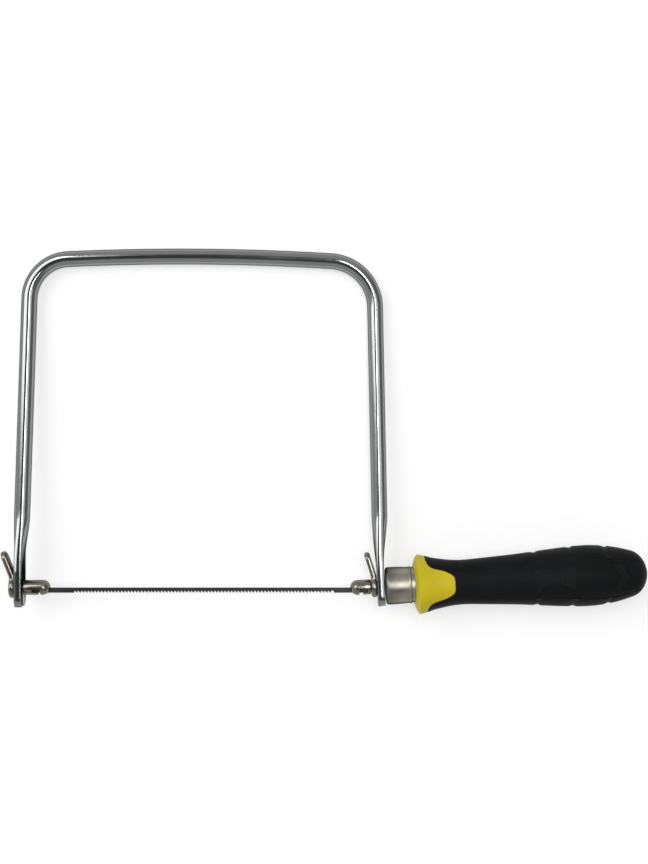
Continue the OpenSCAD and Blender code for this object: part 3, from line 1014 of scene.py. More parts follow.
def flat_plate(name, outlines, thick, edge):
    """Plate with rounded edges, filled between its outlines, lying in X and Y."""
    data = bpy.data.curves.new(name, "CURVE")
    data.dimensions = "2D"
    data.fill_mode = "BOTH"
    data.extrude = thick / 2 - edge
    data.bevel_depth = edge
    data.bevel_resolution = 4
    data.offset = -edge
    for outline in outlines:
        spline = data.splines.new("POLY")
        spline.points.add(len(outline) - 1)
        for point, spot in zip(spline.points, outline):
            point.co = (spot.x, spot.y, 0, 1)
        spline.use_cyclic_u = True
    drawn = new_object(data, name)
    graph = bpy.context.evaluated_depsgraph_get()
    mesh = bpy.data.meshes.new_from_object(drawn.evaluated_get(graph))
    bpy.data.objects.remove(drawn)
    bpy.data.curves.remove(data)
    return mesh


def build_lever(name, lever, face_at, tab_len, lean, lean_way):
    """Bent lever, its base round the holder's axis and its tab leaning over."""
    half_turn = math.tan(lean / 2) * lever.bend_r
    start = lever.bend_y - half_turn
    run = lever.bend_r * lean
    reach = start + run + tab_len - half_turn
    mesh = flat_plate(name, (lever_outline(lever, reach), key_outline(lever)), lever.thick, lever.edge)
    bm = bmesh.new()
    bm.from_mesh(mesh)
    bpy.data.meshes.remove(mesh)
    bmesh.ops.remove_doubles(bm, verts=bm.verts, dist=MERGE)
    bend_steps = 8
    for k in range(bend_steps + 1):
        everything = bm.verts[:] + bm.edges[:] + bm.faces[:]
        cut_at = (0, start + run * k / bend_steps, 0)
        bmesh.ops.bisect_plane(bm, geom=everything, dist=MERGE, plane_co=cut_at, plane_no=(0, 1, 0))
    middle = face_at + lever.thick / 2
    for vert in bm.verts:
        out, up, off = vert.co
        turn = min(max((up - start) / lever.bend_r, 0), lean)
        beyond = max(up - start - run, 0)
        low = min(up, start)
        side = lever.bend_r * (1 - math.cos(turn)) + beyond * math.sin(turn) + off * math.cos(turn)
        rise = low + lever.bend_r * math.sin(turn) + beyond * math.cos(turn) - off * math.sin(turn)
        vert.co = (middle + lean_way * side, rise, out)
    return new_object(mesh_from(bm, name), name)


class SAW_OT_levers(bpy.types.Operator):
    """Make the two bent finger levers"""
    bl_idname = "saw.levers"
    bl_label = "Levers"

    def execute(self, context):
        settings = context.scene.saw
        lever = settings.lever
        sizes = (lever.front_at, lever.front_tab, lever.front_lean, 1)
        piece = build_lever("front_finger_lever", lever, *sizes)
        finish = finish_named("front_nickel", settings)
        finish_piece(piece, FRONT, "front_lever", "front_holder", "nickel", finish)
        sizes = (lever.rear_at, lever.rear_tab, lever.rear_lean, -1)
        piece = build_lever("rear_finger_lever", lever, *sizes)
        finish = finish_named("rear_nickel", settings)
        finish_piece(piece, REAR, "rear_lever", "rear_lever", "nickel", finish)
        return {"FINISHED"}


# Geometry trees

def start_tree(name, kinds):
    """New geometry tree: the tree, what it is given, its end and the identifiers of its named inputs."""
    tree = bpy.data.node_groups.new(name, "GeometryNodeTree")
    for way in ("INPUT", "OUTPUT"):
        tree.interface.new_socket("Geometry", in_out=way, socket_type="NodeSocketGeometry")
    ids = {}
    for key, kind in kinds.items():
        socket = tree.interface.new_socket(key, in_out="INPUT", socket_type="NodeSocket" + kind)
        ids[key] = socket.identifier
    return tree, tree.nodes.new("NodeGroupInput").outputs, tree.nodes.new("NodeGroupOutput"), ids


def run_tree(piece, made, values):
    """Runs a tree on a piece with the given inputs and keeps the result as its mesh."""
    tree, ids = made
    change = piece.modifiers.new(tree.name, "NODES")
    change.node_group = tree
    for name, value in values.items():
        change[ids[name]] = value
    apply_modifiers(piece)


def calculate(tree, operation, *values):
    """Math node on up to three values."""
    made = add_node(tree, "ShaderNodeMath", operation=operation)
    set_inputs(tree, made, dict(enumerate(values)))
    return made.outputs[0]


def point_of(tree, x=0.0, y=0.0, z=0.0):
    """Point from three values."""
    return add_node(tree, "ShaderNodeCombineXYZ", {"X": x, "Y": y, "Z": z}).outputs[0]


def own_place(tree):
    """Place of each point along X and Y."""
    place = add_node(tree, "GeometryNodeInputPosition").outputs[0]
    parts = add_node(tree, "ShaderNodeSeparateXYZ", {0: place}).outputs
    return parts["X"], parts["Y"]


def joined(tree, *parts):
    """Pieces of geometry as one."""
    made = add_node(tree, "GeometryNodeJoinGeometry")
    for part in parts:
        tree.links.new(part, made.inputs[0])
    return made.outputs[0]


def dressed(tree, spread_out, material):
    """Instances made real, in their material."""
    real = add_node(tree, "GeometryNodeRealizeInstances", {0: spread_out}).outputs[0]
    return add_node(tree, "GeometryNodeSetMaterial", {"Geometry": real, "Material": material}).outputs[0]


# Blade

# Corners of a tooth as (parts of the pitch, parts of the depth)
TOOTH = ((0.06, 0.25), (0.88, -1.0), (1.0, -1.0), (1.18, 0.25))
TOOTH_RAKE = 0.3
TOOTH_MERGE = 0.001 * MM


def teeth_tree():
    """Row of teeth, leaning out to one side and the other in turn, joined to the blade."""
    kinds = dict.fromkeys(("Pitch", "Depth", "Thickness", "Lean", "Start", "Root"), "Float")
    tree, given, end, ids = start_tree("saw_teeth", {"Count": "Int", **kinds, "Teeth": "Material"})
    outline = add_node(tree, "GeometryNodeCurvePrimitiveQuadrilateral", mode="POINTS")
    for number, (part, depth_part) in enumerate(TOOTH, 1):
        along = calculate(tree, "MULTIPLY", given["Pitch"], part)
        height = calculate(tree, "MULTIPLY", given["Depth"], depth_part)
        tree.links.new(point_of(tree, along, height), outline.inputs[f"Point {number}"])
    face = add_node(tree, "GeometryNodeFillCurve", {0: outline.outputs[0]}, mode="NGONS").outputs[0]
    wall = add_node(tree, "GeometryNodeExtrudeMesh", {
        "Mesh": face, "Offset": point_of(tree, z=1.0), "Offset Scale": given["Thickness"]}).outputs[0]
    back = add_node(tree, "GeometryNodeFlipFaces", {"Mesh": face}).outputs[0]
    tooth = add_node(tree, "GeometryNodeMergeByDistance", {
        "Geometry": joined(tree, wall, back), "Distance": TOOTH_MERGE}).outputs[0]
    half = calculate(tree, "MULTIPLY", given["Thickness"], -0.5)
    tooth = add_node(tree, "GeometryNodeTransform", {
        "Geometry": tooth, "Translation": point_of(tree, z=half)}).outputs[0]
    spots = add_node(tree, "GeometryNodeMeshLine", {
        "Count": given["Count"], "Start Location": point_of(tree, given["Start"], given["Root"]),
        "Offset": point_of(tree, given["Pitch"])}).outputs[0]
    odd = calculate(tree, "MODULO", add_node(tree, "GeometryNodeInputIndex").outputs[0], 2.0)
    way = calculate(tree, "MULTIPLY_ADD", odd, 2.0, -1.0)
    lean = calculate(tree, "MULTIPLY", way, given["Lean"])
    row = add_node(tree, "GeometryNodeInstanceOnPoints", {
        "Points": spots, "Instance": tooth, "Rotation": point_of(tree, lean)}).outputs[0]
    teeth = dressed(tree, row, given["Teeth"])
    tree.links.new(joined(tree, teeth, given["Geometry"]), end.inputs[0])
    return tree, ids


def build_blade_strip(blade):
    """Blade without its teeth: a flat strip with full-width ends and cut corners."""
    half = pin_span / 2 + blade.tail
    back = blade.width / 2 - blade.drop
    low = back - blade.width
    root = low + blade.depth
    first = -pin_span / 2 + blade.teeth_from
    last = pin_span / 2 - blade.teeth_to
    rake = blade.depth * TOOTH_RAKE
    corner = 0.5 * MM
    line = [(half - corner, back), (-half + corner, back), (-half, back - corner), (-half, low + corner),
            (-half + corner, low), (first, low), (first + rake, root), (last, root), (last + rake, low),
            (half - corner, low), (half, low + corner), (half, back - corner)]
    bm = bmesh.new()
    rows = []
    for side in (-1, 1):
        rows.append([bm.verts.new((x, y, side * blade.thick / 2)) for x, y in line])
    bridge(bm, rows[0], rows[1])
    for row in rows:
        bm.faces.new(row)
    return mesh_from(bm, "blade_strip")


def build_pin(name, blade):
    """Blade pin with domed ends, along Z."""
    half = blade.pin_len / 2
    radius = blade.pin_d / 2
    bevel = 0.3 * MM
    far = round_corner((half - bevel, radius - bevel), bevel, 90, 0, CORNER_STEPS)
    line = [(-half, 0)] + [(-station, size) for station, size in far[::-1]] + far + [(half, 0)]
    bm = bmesh.new()
    turned(bm, line, PIN_SIDES)
    bm.transform(Matrix.Rotation(math.radians(-90), 4, "Y"))
    return new_object(mesh_from(bm, name), name)


class SAW_OT_blade(bpy.types.Operator):
    """Make the toothed blade and its two pins"""
    bl_idname = "saw.blade"
    bl_label = "Blade"

    def execute(self, context):
        settings = context.scene.saw
        blade = settings.blade
        blued = finish_named("blued", settings)
        strip = build_blade_strip(blade)
        strip.materials.append(blued)
        piece = new_object(strip, "toothed_blade")
        room = pin_span - blade.teeth_from - blade.teeth_to
        run_tree(piece, teeth_tree(), {
            "Count": int(room / blade.pitch), "Pitch": blade.pitch, "Depth": blade.depth,
            "Thickness": blade.thick, "Lean": blade.tooth_set, "Start": -pin_span / 2 + blade.teeth_from,
            "Root": -blade.drop - blade.width / 2 + blade.depth, "Teeth": finish_named("ground", settings)})
        finish_piece(piece, SAW, "blade", "blade", "blued_steel")
        for side, node in ((-1, "front_blade_pin"), (1, "rear_blade_pin")):
            pin = build_pin(node.replace("blade_pin", "pin"), blade)
            at = (side * (pin_span / 2 + blade.pin_out), -blade.drop, 0)
            finish_piece(pin, SAW @ Matrix.Translation(at), node, "blade", "blued_steel", blued)
        return {"FINISHED"}


# Ferrule

def ferrule_profile(handle):
    """Closed outline of the ferrule: rounded front edge, bead, rolled rear edge and bore."""
    radius = handle.ferrule_d / 2
    front = handle.ferrule_at
    back = front + handle.ferrule_len
    edge = handle.ferrule_edge
    taper = handle.ferrule_taper
    wall = 1 * MM
    face_wall = 1.4 * MM
    bore = 3.8 * MM
    bore_edge = 0.25 * MM
    rolled_r = 0.25 * MM
    step_in = 0.06 * MM
    bead_at = back - 2.6 * MM
    bead_half = 0.62 * MM
    crown_part = 0.15
    crown = crown_part * taper
    line = [(front + bore_edge, bore), (front, bore + bore_edge)]
    edge_steps, side_steps, rolled_steps = 12, 64, 3
    line += round_corner((front + edge, radius + crown - edge), edge, 180, 90, edge_steps)
    for k in range(1, side_steps):
        station = mix(front + edge, back - rolled_r, k / side_steps)
        off = abs(station - bead_at) / bead_half
        rise = handle.bead * (1 - off * off) if off < 1 else 0
        sink = step_in if station > bead_at + bead_half else 0
        part = min(max((station - front - edge) / (bead_at - front - edge), 0), 1)
        line.append((station, radius + rise - sink - taper * (part * part - crown_part)))
    rolled = radius - step_in - rolled_r - taper + crown
    line += round_corner((back - rolled_r, rolled), rolled_r, 90, 0, rolled_steps)
    inner = radius - wall
    return line + [(back, inner), (front + face_wall, inner), (front + face_wall, bore)]


def build_ferrule(handle):
    """Ferrule with two punched dimples."""
    bm = bmesh.new()
    turned(bm, ferrule_profile(handle), FERRULE_SIDES, closed=True)
    radius = handle.ferrule_d / 2
    skin = radius - 0.3 * MM
    from_back = 3.5 * MM
    fade = 1.5
    at = handle.ferrule_at + handle.ferrule_len - from_back
    for degrees in (-45, 135):
        turn = math.radians(degrees)
        middle = Vector((at, radius * math.sin(turn), radius * math.cos(turn)))
        for vert in bm.verts:
            off = (vert.co - middle).length / handle.dimple
            if off < 1 and vert.co.yz.length > skin:
                sink = handle.dimple / 2 * (1 - off * off) ** fade
                vert.co -= sink * Vector((0, vert.co.y, vert.co.z)).normalized()
    return new_object(mesh_from(bm, "handle_ferrule"), "handle_ferrule")


class SAW_OT_ferrule(bpy.types.Operator):
    """Make the ferrule"""
    bl_idname = "saw.ferrule"
    bl_label = "Ferrule"

    def execute(self, context):
        settings = context.scene.saw
        piece = build_ferrule(settings.handle)
        finish_piece(piece, REAR, "ferrule", "handle", "ferrule_nickel", finish_named("ferrule", settings))
        return {"FINISHED"}


# Handle

QUARTER = 52
QUARTER_TURN = math.pi / 2
EVEN = [QUARTER_TURN * k / QUARTER for k in range(QUARTER + 1)]
PANEL_COLUMN = 21
PANEL_OFFSETS = [-0.55 * MM, -0.22 * MM, 0, 0.22 * MM, 0.55 * MM]
FAN_END = 57 * MM
TANG_GAP = 0.1 * MM
CURVE_STEPS = 10
TONGUE_STEPS = 8

# Rounded edges along the seam as (way from the seam, parts of its depth)
SEAM_STEPS = ((0.0, 1.0), (0.07 * MM, 0.55), (0.2 * MM, 0.18), (0.42 * MM, 0.0))
SEAM_REACH = SEAM_STEPS[-1][0]


class HandleForm:
    """Radius of the handle along its axis, edge of its tongues and lines of its side panels."""

    def __init__(self, handle):
        self.handle = handle
        rim, neck, swell = handle.rim_r, handle.neck_r, handle.swell_r
        # Points as (part of the length, part of the way to the next radius), and of the swell at the butt
        fall = ((0, 0), (0.036, 0.264), (0.08, 0.625), (0.176, 1))
        rise = ((0.298, 0.138), (0.436, 0.388), (0.573, 0.75), (0.693, 1))
        butt = ((0.774, 0.994), (0.847, 0.926), (0.907, 0.82), (0.953, 0.694), (0.982, 0.465),
                (0.997, 0.19), (1, 0))
        outline = [(along, mix(rim, neck, part)) for along, part in fall]
        outline += [(along, mix(neck, swell, part)) for along, part in rise]
        outline += [(along, swell * part) for along, part in butt]
        line = smooth_line(outline, CURVE_STEPS)
        self.stations = [handle.rim_at + handle.total * point.x for point in line]
        self.radii = [max(point.y, 0) for point in line]
        self.butt = self.stations[-1]
        self.tip = handle.rim_at + handle.tongue_len

    def radius(self, station):
        """Radius of the handle at a station."""
        spot = min(max(bisect.bisect_right(self.stations, station) - 1, 0), len(self.stations) - 2)
        low, high = self.stations[spot], self.stations[spot + 1]
        part = min(max((station - low) / (high - low), 0), 1) if high > low else 0
        return mix(self.radii[spot], self.radii[spot + 1], part)

    def panel_turn(self, station, upper):
        """Angle of a side panel's upper or lower edge from the panel's middle."""
        handle = self.handle
        start = handle.panel_from
        steepest = 0.85
        near, far, end = (handle.lower_near, handle.lower_far, handle.lower_to)
        if upper:
            near, far, end = (handle.upper_near, handle.upper_far, handle.upper_to)
        here = min(station, end)
        reach = mix(near, far, max(here - start, 0) / (end - start))
        return math.asin(min(reach / self.radius(here), steepest))

    def tongue_edge(self):
        """Edge of a tongue over a quarter turn, from its tip's middle to the rim, as (station, angle)."""
        handle = self.handle
        start, tip, half = handle.grip_from, self.tip, handle.tongue_half
        side = [(tip, 0), (tip, half * 0.28), (tip - 0.05 * MM, half * 0.56), (tip - 0.55 * MM, half * 0.86),
                (tip - 1.7 * MM, half * 1.08), (mix(start, tip, 0.66), half * 1.42),
                (start + 3.4 * MM, half * 1.8), (start + 1.2 * MM, half * 2.15),
                (start + 0.25 * MM, half * 2.55), (start, handle.rim_r * 0.9)]
        edge = []
        for station, across in smooth_line(side, TONGUE_STEPS):
            edge.append(Vector((station, math.asin(min(across / self.radius(station), 1)))))
        turn_step, near_enough = 0.06, 0.02
        while edge[-1].y < QUARTER_TURN - near_enough:
            edge.append(Vector((start, min(edge[-1].y + turn_step, QUARTER_TURN))))
        edge[-1].y = QUARTER_TURN
        return edge

    def edge_columns(self):
        """Evenly spaced points of the tongue's edge, with the way into the soft part, and the radius used."""
        middle_r = self.handle.neck_r * 1.1
        flat = [Vector((point.x, point.y * middle_r)) for point in self.tongue_edge()]
        flat = even_line(flat, QUARTER)
        columns = []
        for k, point in enumerate(flat):
            run = flat[min(k + 1, QUARTER)] - flat[max(k - 1, 0)]
            into = Vector((run.y, -run.x)).normalized()
            columns.append((point, into if 0 < k < QUARTER else Vector((1, 0))))
        return columns, middle_r

    def edge_row(self, away, sink):
        """Row along the tongue's edge, moved into the soft part and sunk below the skin."""
        columns, middle_r = self.edge_columns()
        row = []
        for point, into in columns:
            spot = point + into * away
            turn = min(max(spot.y, 0) / middle_r, QUARTER_TURN)
            row.append((spot.x, turn, self.radius(spot.x) - sink))
        return row

    def column_turn(self, column, station, upper):
        """Angle of a column of the soft grip, drawn together along the panel's edge."""
        edge = self.panel_turn(station, upper)
        least_r = 2 * MM
        radius = max(self.radius(station), least_r)
        low = PANEL_COLUMN - 2
        high = PANEL_COLUMN + 2
        if low <= column <= high:
            return edge + PANEL_OFFSETS[column - low] / radius
        if column < low:
            return (edge + PANEL_OFFSETS[0] / radius) * column / low
        start = edge + PANEL_OFFSETS[-1] / radius
        return mix(start, QUARTER_TURN, (column - high) / (QUARTER - high))


def whole_turn(upper_rows, lower_rows):
    """Extends rows over an upper and a lower quarter turn to the whole turn.

    A row's points are (station, angle, radius)."""
    full = []
    for upper, lower in zip(upper_rows, lower_rows):
        ring = []
        for quarter in range(4):
            row = upper if quarter < 2 else lower
            columns = row if quarter % 2 == 0 else row[::-1]
            for station, turn, radius in columns[:-1]:
                around = turn if quarter % 2 == 0 else math.pi - turn
                around += math.pi * (quarter // 2)
                ring.append((station, around, radius))
        full.append(ring)
    return full


def row_piece(name, upper_rows, lower_rows):
    """Piece whose skin runs through quarter rows, extended to the whole turn."""
    bm = bmesh.new()
    add_rows(bm, whole_turn(upper_rows, lower_rows))
    return new_object(mesh_from(bm, name), name)


def ring_row(station, radius):
    """Row of one radius."""
    return [(station, turn, radius) for turn in EVEN]


def core_rows(form):
    """Rows of the hard part: front face, rim, tongues with a rounded edge, and the hidden tang."""
    handle = form.handle
    rows = face_rows(handle)
    edge = form.edge_row(0, 0)
    last = form.edge_row(-SEAM_REACH, 0)
    band_steps, tongue_steps = 10, 24
    band_gap, seam_floor, tang_lead = 0.75 * MM, 1.4 * MM, 2 * MM
    back = handle.grip_from - band_gap
    for k in range(1, band_steps + 1):
        station = mix(handle.rim_at, back, k / band_steps)
        part = ease(k / band_steps)
        turns = [mix(plain, here[1], part) for plain, here in zip(EVEN, edge)]
        rows.append([(station, turn, form.radius(station)) for turn in turns])
    for k in range(1, tongue_steps):
        row = []
        for here, there in zip(edge, last):
            station = mix(back, there[0], k / tongue_steps)
            row.append((station, mix(here[1], there[1], k / tongue_steps), form.radius(station)))
        rows.append(row)
    for away, sink in SEAM_STEPS[::-1]:
        rows.append(form.edge_row(-away, handle.seam * sink))
    rows.append(form.edge_row(0, seam_floor))
    tang, end = handle.tang_r, handle.tang_end
    for station, radius in ((form.tip + tang_lead, tang), (end - MM, tang), (end, tang - MM), (end, 0)):
        rows.append(ring_row(station, radius))
    return rows


def face_rows(handle):
    """Rows of the hard part's front, from its middle out to the rim, which dips back at the sides."""
    rim, lip = handle.rim_at, handle.rim_lip
    foot = handle.ferrule_d / 2
    rise = handle.rim_r - foot
    tuck, lap = 0.9 * MM, 0.05 * MM
    inside = rim - lip * 0.55
    curve = ((0.97, 0.07), (0.86, 0.25), (0.68, 0.5), (0.44, 0.76), (0.24, 0.9), (0.1, 0.97), (0, 1))
    face = [(inside, foot - tuck), (rim - lip, foot - lap)]
    face += [(rim - lip * back, foot + rise * out) for back, out in curve]
    rows = [ring_row(inside, 0)]
    for station, radius in face:
        dip = handle.rim_dip * min((rim - station) / lip, 1)
        rows.append([(station + dip * math.cos(turn) ** 2, turn, radius) for turn in EVEN])
    return rows


def groove_sink(handle, station):
    """Depth of the finger grooves at a station: gentle towards the rim and steep towards the butt."""
    gentle, steep = 3.2 * MM, 1.3 * MM
    for k in range(handle.groove_count):
        off = station - handle.groove_at - handle.groove_pitch * k
        if -gentle < off < steep:
            flank = gentle if off < 0 else steep
            return handle.groove_depth / 2 * (1 + math.cos(math.pi * off / flank))
    return 0


def grip_radius(form, station, turn, upper):
    """Radius of the soft grip, with its finger grooves and the line round its side panels."""
    handle = form.handle
    radius = form.radius(station)
    plain_below = 4 * MM
    if radius < plain_below:
        return radius
    line_half, line_start = 0.5 * MM, 8 * MM
    groove_off, groove_run = 0.2 * MM, 2.6 * MM
    off = (turn - form.panel_turn(station, upper)) * radius
    start = ease((station - FAN_END) / line_start)
    line = handle.panel_line * max(1 - (off / line_half) ** 2, 0) * start
    groove = groove_sink(handle, station) * ease((off - groove_off) / groove_run)
    return radius - line - groove


def sleeve_rows(form, upper):
    """Quarter rows of the soft part: hidden bore, rounded edge along the tongues, grip and butt."""
    handle = form.handle
    seam_floor, bore_lead = 1.2 * MM, 2.4 * MM
    end = handle.tang_end + TANG_GAP
    bore = handle.tang_r + TANG_GAP
    rows = [ring_row(end, 0), ring_row(end, bore), ring_row(form.tip + bore_lead, bore)]
    rows.append(form.edge_row(0, seam_floor))
    for away, sink in SEAM_STEPS:
        rows.append(form.edge_row(away, handle.seam * sink))
    fan_steps, grip_steps, butt_steps = 22, 176, 20
    first = form.edge_row(SEAM_REACH, 0)
    for k in range(1, fan_steps + 1):
        part = k / fan_steps
        row = []
        for c, (start, turn, radius) in enumerate(first):
            station = mix(start, FAN_END, part)
            turn = mix(turn, form.column_turn(c, FAN_END, upper), ease(part))
            row.append((station, turn, form.radius(station)))
        rows.append(row)
    butt_len = 6 * MM
    knee = form.butt - butt_len
    stations = [mix(FAN_END, knee, k / grip_steps) for k in range(1, grip_steps + 1)]
    stations += [knee + butt_len * math.sin(QUARTER_TURN * k / butt_steps) for k in range(1, butt_steps)]
    for station in stations:
        turns = [form.column_turn(c, station, upper) for c in range(QUARTER + 1)]
        rows.append([(station, turn, grip_radius(form, station, turn, upper)) for turn in turns])
    rows.append(ring_row(form.butt, 0))
    return rows


def dots_tree():
    """Raised dots dropped onto both side panels of the grip, in a bow tie and a small arrow."""
    kinds = dict.fromkeys(("Pitch", "Radius", "Rise", "Middle", "Half", "Arrow"), "Float")
    tree, given, end, ids = start_tree("grip_dots", {**kinds, "Grip": "Material"})
    points = dot_points(tree, given)
    x, y = own_place(tree)
    ball = add_node(tree, "GeometryNodeMeshUVSphere", {"Segments": 8, "Rings": 5, "Radius": given["Radius"]})
    flat = point_of(tree, 1.0, 1.0, calculate(tree, "DIVIDE", given["Rise"], given["Radius"]))
    dot = add_node(tree, "GeometryNodeTransform", {"Geometry": ball.outputs[0], "Scale": flat}).outputs[0]
    height = 40 * MM
    fields = []
    for side in (1, -1):
        drop = add_node(tree, "GeometryNodeRaycast", {
            "Target Geometry": given["Geometry"], "Source Position": point_of(tree, x, y, side * height),
            "Ray Direction": (0, 0, -side), "Ray Length": height})
        laid = add_node(tree, "GeometryNodeSetPosition", {
            "Geometry": points, "Position": drop.outputs["Hit Position"]}).outputs[0]
        facing = add_node(tree, "GeometryNodeSampleNearestSurface", data_type="FLOAT_VECTOR")
        normal = add_node(tree, "GeometryNodeInputNormal").outputs[0]
        set_inputs(tree, facing, {"Mesh": given["Geometry"], "Value": normal})
        turn = add_node(tree, "FunctionNodeAlignRotationToVector", {"Vector": facing.outputs[0]}, axis="Z")
        fields.append(add_node(tree, "GeometryNodeInstanceOnPoints", {
            "Points": laid, "Instance": dot, "Rotation": turn.outputs[0]}).outputs[0])
    tree.links.new(dressed(tree, joined(tree, *fields), given["Grip"]), end.inputs[0])
    return tree, ids


def dot_points(tree, given):
    """Staggered grid of points, kept only inside the bow tie and the arrow."""
    columns, rows = 40, 21
    shift = 17 * MM
    row_step = calculate(tree, "MULTIPLY", given["Pitch"], 0.5)
    grid = add_node(tree, "GeometryNodeMeshGrid", {
        "Vertices X": columns, "Size X": calculate(tree, "MULTIPLY", given["Pitch"], columns - 1.0),
        "Vertices Y": rows, "Size Y": calculate(tree, "MULTIPLY", row_step, rows - 1.0)})
    x, y = own_place(tree)
    row = calculate(tree, "ROUND", calculate(tree, "DIVIDE", y, row_step))
    odd = calculate(tree, "MODULO", calculate(tree, "ABSOLUTE", row), 2.0)
    along = calculate(tree, "MULTIPLY_ADD", odd, row_step, x)
    along = calculate(tree, "ADD", along, calculate(tree, "ADD", given["Middle"], shift))
    moved = add_node(tree, "GeometryNodeSetPosition", {
        "Geometry": grid.outputs[0], "Position": point_of(tree, along, y)}).outputs[0]
    x, y = own_place(tree)
    across = calculate(tree, "ABSOLUTE", y)
    off = calculate(tree, "ABSOLUTE", calculate(tree, "SUBTRACT", x, given["Middle"]))
    tie_slope, tie_waist, widest = 0.55, 0.6 * MM, 6.2 * MM
    tie = calculate(tree, "LESS_THAN", across, calculate(tree, "MULTIPLY_ADD", off, tie_slope, tie_waist))
    tie = calculate(tree, "MULTIPLY", tie, calculate(tree, "LESS_THAN", off, given["Half"]))
    arrow_slope, arrow_width = 0.6, 4.2 * MM
    tip = calculate(tree, "MULTIPLY_ADD", across, arrow_slope, x)
    tail = calculate(tree, "SUBTRACT", given["Arrow"], arrow_width)
    arrow = calculate(tree, "LESS_THAN", tip, given["Arrow"])
    arrow = calculate(tree, "MULTIPLY", arrow, calculate(tree, "GREATER_THAN", tip, tail))
    kept = calculate(tree, "MAXIMUM", tie, arrow)
    kept = calculate(tree, "MULTIPLY", kept, calculate(tree, "LESS_THAN", across, widest))
    left_out = calculate(tree, "LESS_THAN", kept, 0.5)
    return add_node(tree, "GeometryNodeDeleteGeometry", {"Geometry": moved, "Selection": left_out}).outputs[0]


def build_dots(sleeve, handle, material):
    """Grip dots over a copy of the sleeve's skin."""
    piece = new_object(sleeve.copy(), "grip_dots")
    run_tree(piece, dots_tree(), {
        "Pitch": handle.dot_pitch, "Radius": handle.dot_r, "Rise": handle.dot_rise, "Middle": handle.dots_at,
        "Half": handle.dots_half, "Arrow": handle.arrow_at, "Grip": material})
    return piece


class SAW_OT_handle(bpy.types.Operator):
    """Make the hard core and the soft grip of the handle"""
    bl_idname = "saw.handle"
    bl_label = "Handle"

    def execute(self, context):
        settings = context.scene.saw
        form = HandleForm(settings.handle)
        core = core_rows(form)
        piece = row_piece("hard_core", core, core)
        finish_piece(piece, REAR, "handle_core", "handle", "yellow_plastic", finish_named("hard", settings))
        piece = row_piece("soft_grip", sleeve_rows(form, upper=True), sleeve_rows(form, upper=False))
        dots = build_dots(piece.data, settings.handle, finish_named("dots", settings))
        finish_piece(dots, REAR, None, "handle", "black_rubber")
        finish_piece(piece, REAR, "grip_sleeve", "handle", "black_rubber", finish_named("soft", settings))
        return {"FINISHED"}


class SAW_OT_nut(bpy.types.Operator):
    """Finish the nut inside the handle"""
    bl_idname = "saw.nut"
    bl_label = "Captive nut"

    def execute(self, context):
        mesh = frame["nodes"]["captive_nut"].data
        mesh.materials.clear()
        mesh.materials.append(finish_named("nut", context.scene.saw))
        return {"FINISHED"}


# Stage

# Soft boxes in the sky: leans from overhead and bearings in degrees, and how fast the outer lean falls
LEFT_BOX = {"leans": (21, 67), "bearings": (6.2, 66), "tapers": (1, 0.25)}
RIGHT_BOX = {"leans": (8.7, 46), "bearings": (-80, 80), "tapers": (1.7, 0.35)}
LEFT_TINT = (0.985, 0.98, 1.0)
RIGHT_TINT = (1.0, 0.99, 0.965)
RIGHT_SKEW = 0.4
BOX_BLUR = 2.5
SIDE_BLUR = 4

# Lamps: places on the saw's own axes, widths and lengths in metres
STRIP_AT, STRIP_W, STRIP_LEN = (0.19, 0.2, 1.2), 0.12, 0.8
FAR_AT, FAR_W = (-0.3, 0.59, 0.78), 0.12


def floor_finish(stage):
    """Pale matte paper with the faintest mottling."""
    material, tree, shader = start_material("pale_floor")
    cloud = noise(tree, object_space(tree), scale=6, detail=3)
    path = add_node(tree, "ShaderNodeLightPath").outputs
    seen = calculate(tree, "MAXIMUM", path["Is Camera Ray"], path["Is Glossy Ray"])
    seen = calculate(tree, "MAXIMUM", seen, path["Is Transmission Ray"])
    set_inputs(tree, shader, {
        "Base Color": mottled(tree, cloud, stage.floor, dark=0.995, light=1),
        "Roughness": 0.9, "Specular IOR Level": 0.1, "Emission Color": (1, 1, 1, 1),
        "Emission Strength": calculate(tree, "MULTIPLY", seen, stage.floor_lift)})
    return material


def soft_step(tree, value, start, end):
    """Soft step from nothing to one between two angles in degrees, or back down where they fall."""
    low, high = sorted((start, end))
    rising = float(start < end)
    return spread(tree, value, 1 - rising, rising, math.radians(low), math.radians(high), kind="SMOOTHSTEP")


def soft_box(tree, lean, near, bearing, leans, bearings, tapers):
    """Soft-edged patch of the sky between two leans from overhead and two bearings, in degrees.

    Its near edge follows the angle near. Its outer lean shrinks by the tapers below and above
    a bearing of nothing."""
    below = calculate(tree, "MAXIMUM", calculate(tree, "MULTIPLY", bearing, -1.0), 0.0)
    above = calculate(tree, "MAXIMUM", bearing, 0.0)
    outer = calculate(tree, "MULTIPLY_ADD", above, tapers[1], lean)
    outer = calculate(tree, "MULTIPLY_ADD", below, tapers[0], outer)
    edges = ((near, leans[0], BOX_BLUR), (outer, leans[1], -BOX_BLUR),
             (bearing, bearings[0], SIDE_BLUR), (bearing, bearings[1], -SIDE_BLUR))
    steps = [soft_step(tree, value, middle - blur, middle + blur) for value, middle, blur in edges]
    patch = steps[0]
    for step in steps[1:]:
        patch = calculate(tree, "MULTIPLY", patch, step)
    return patch


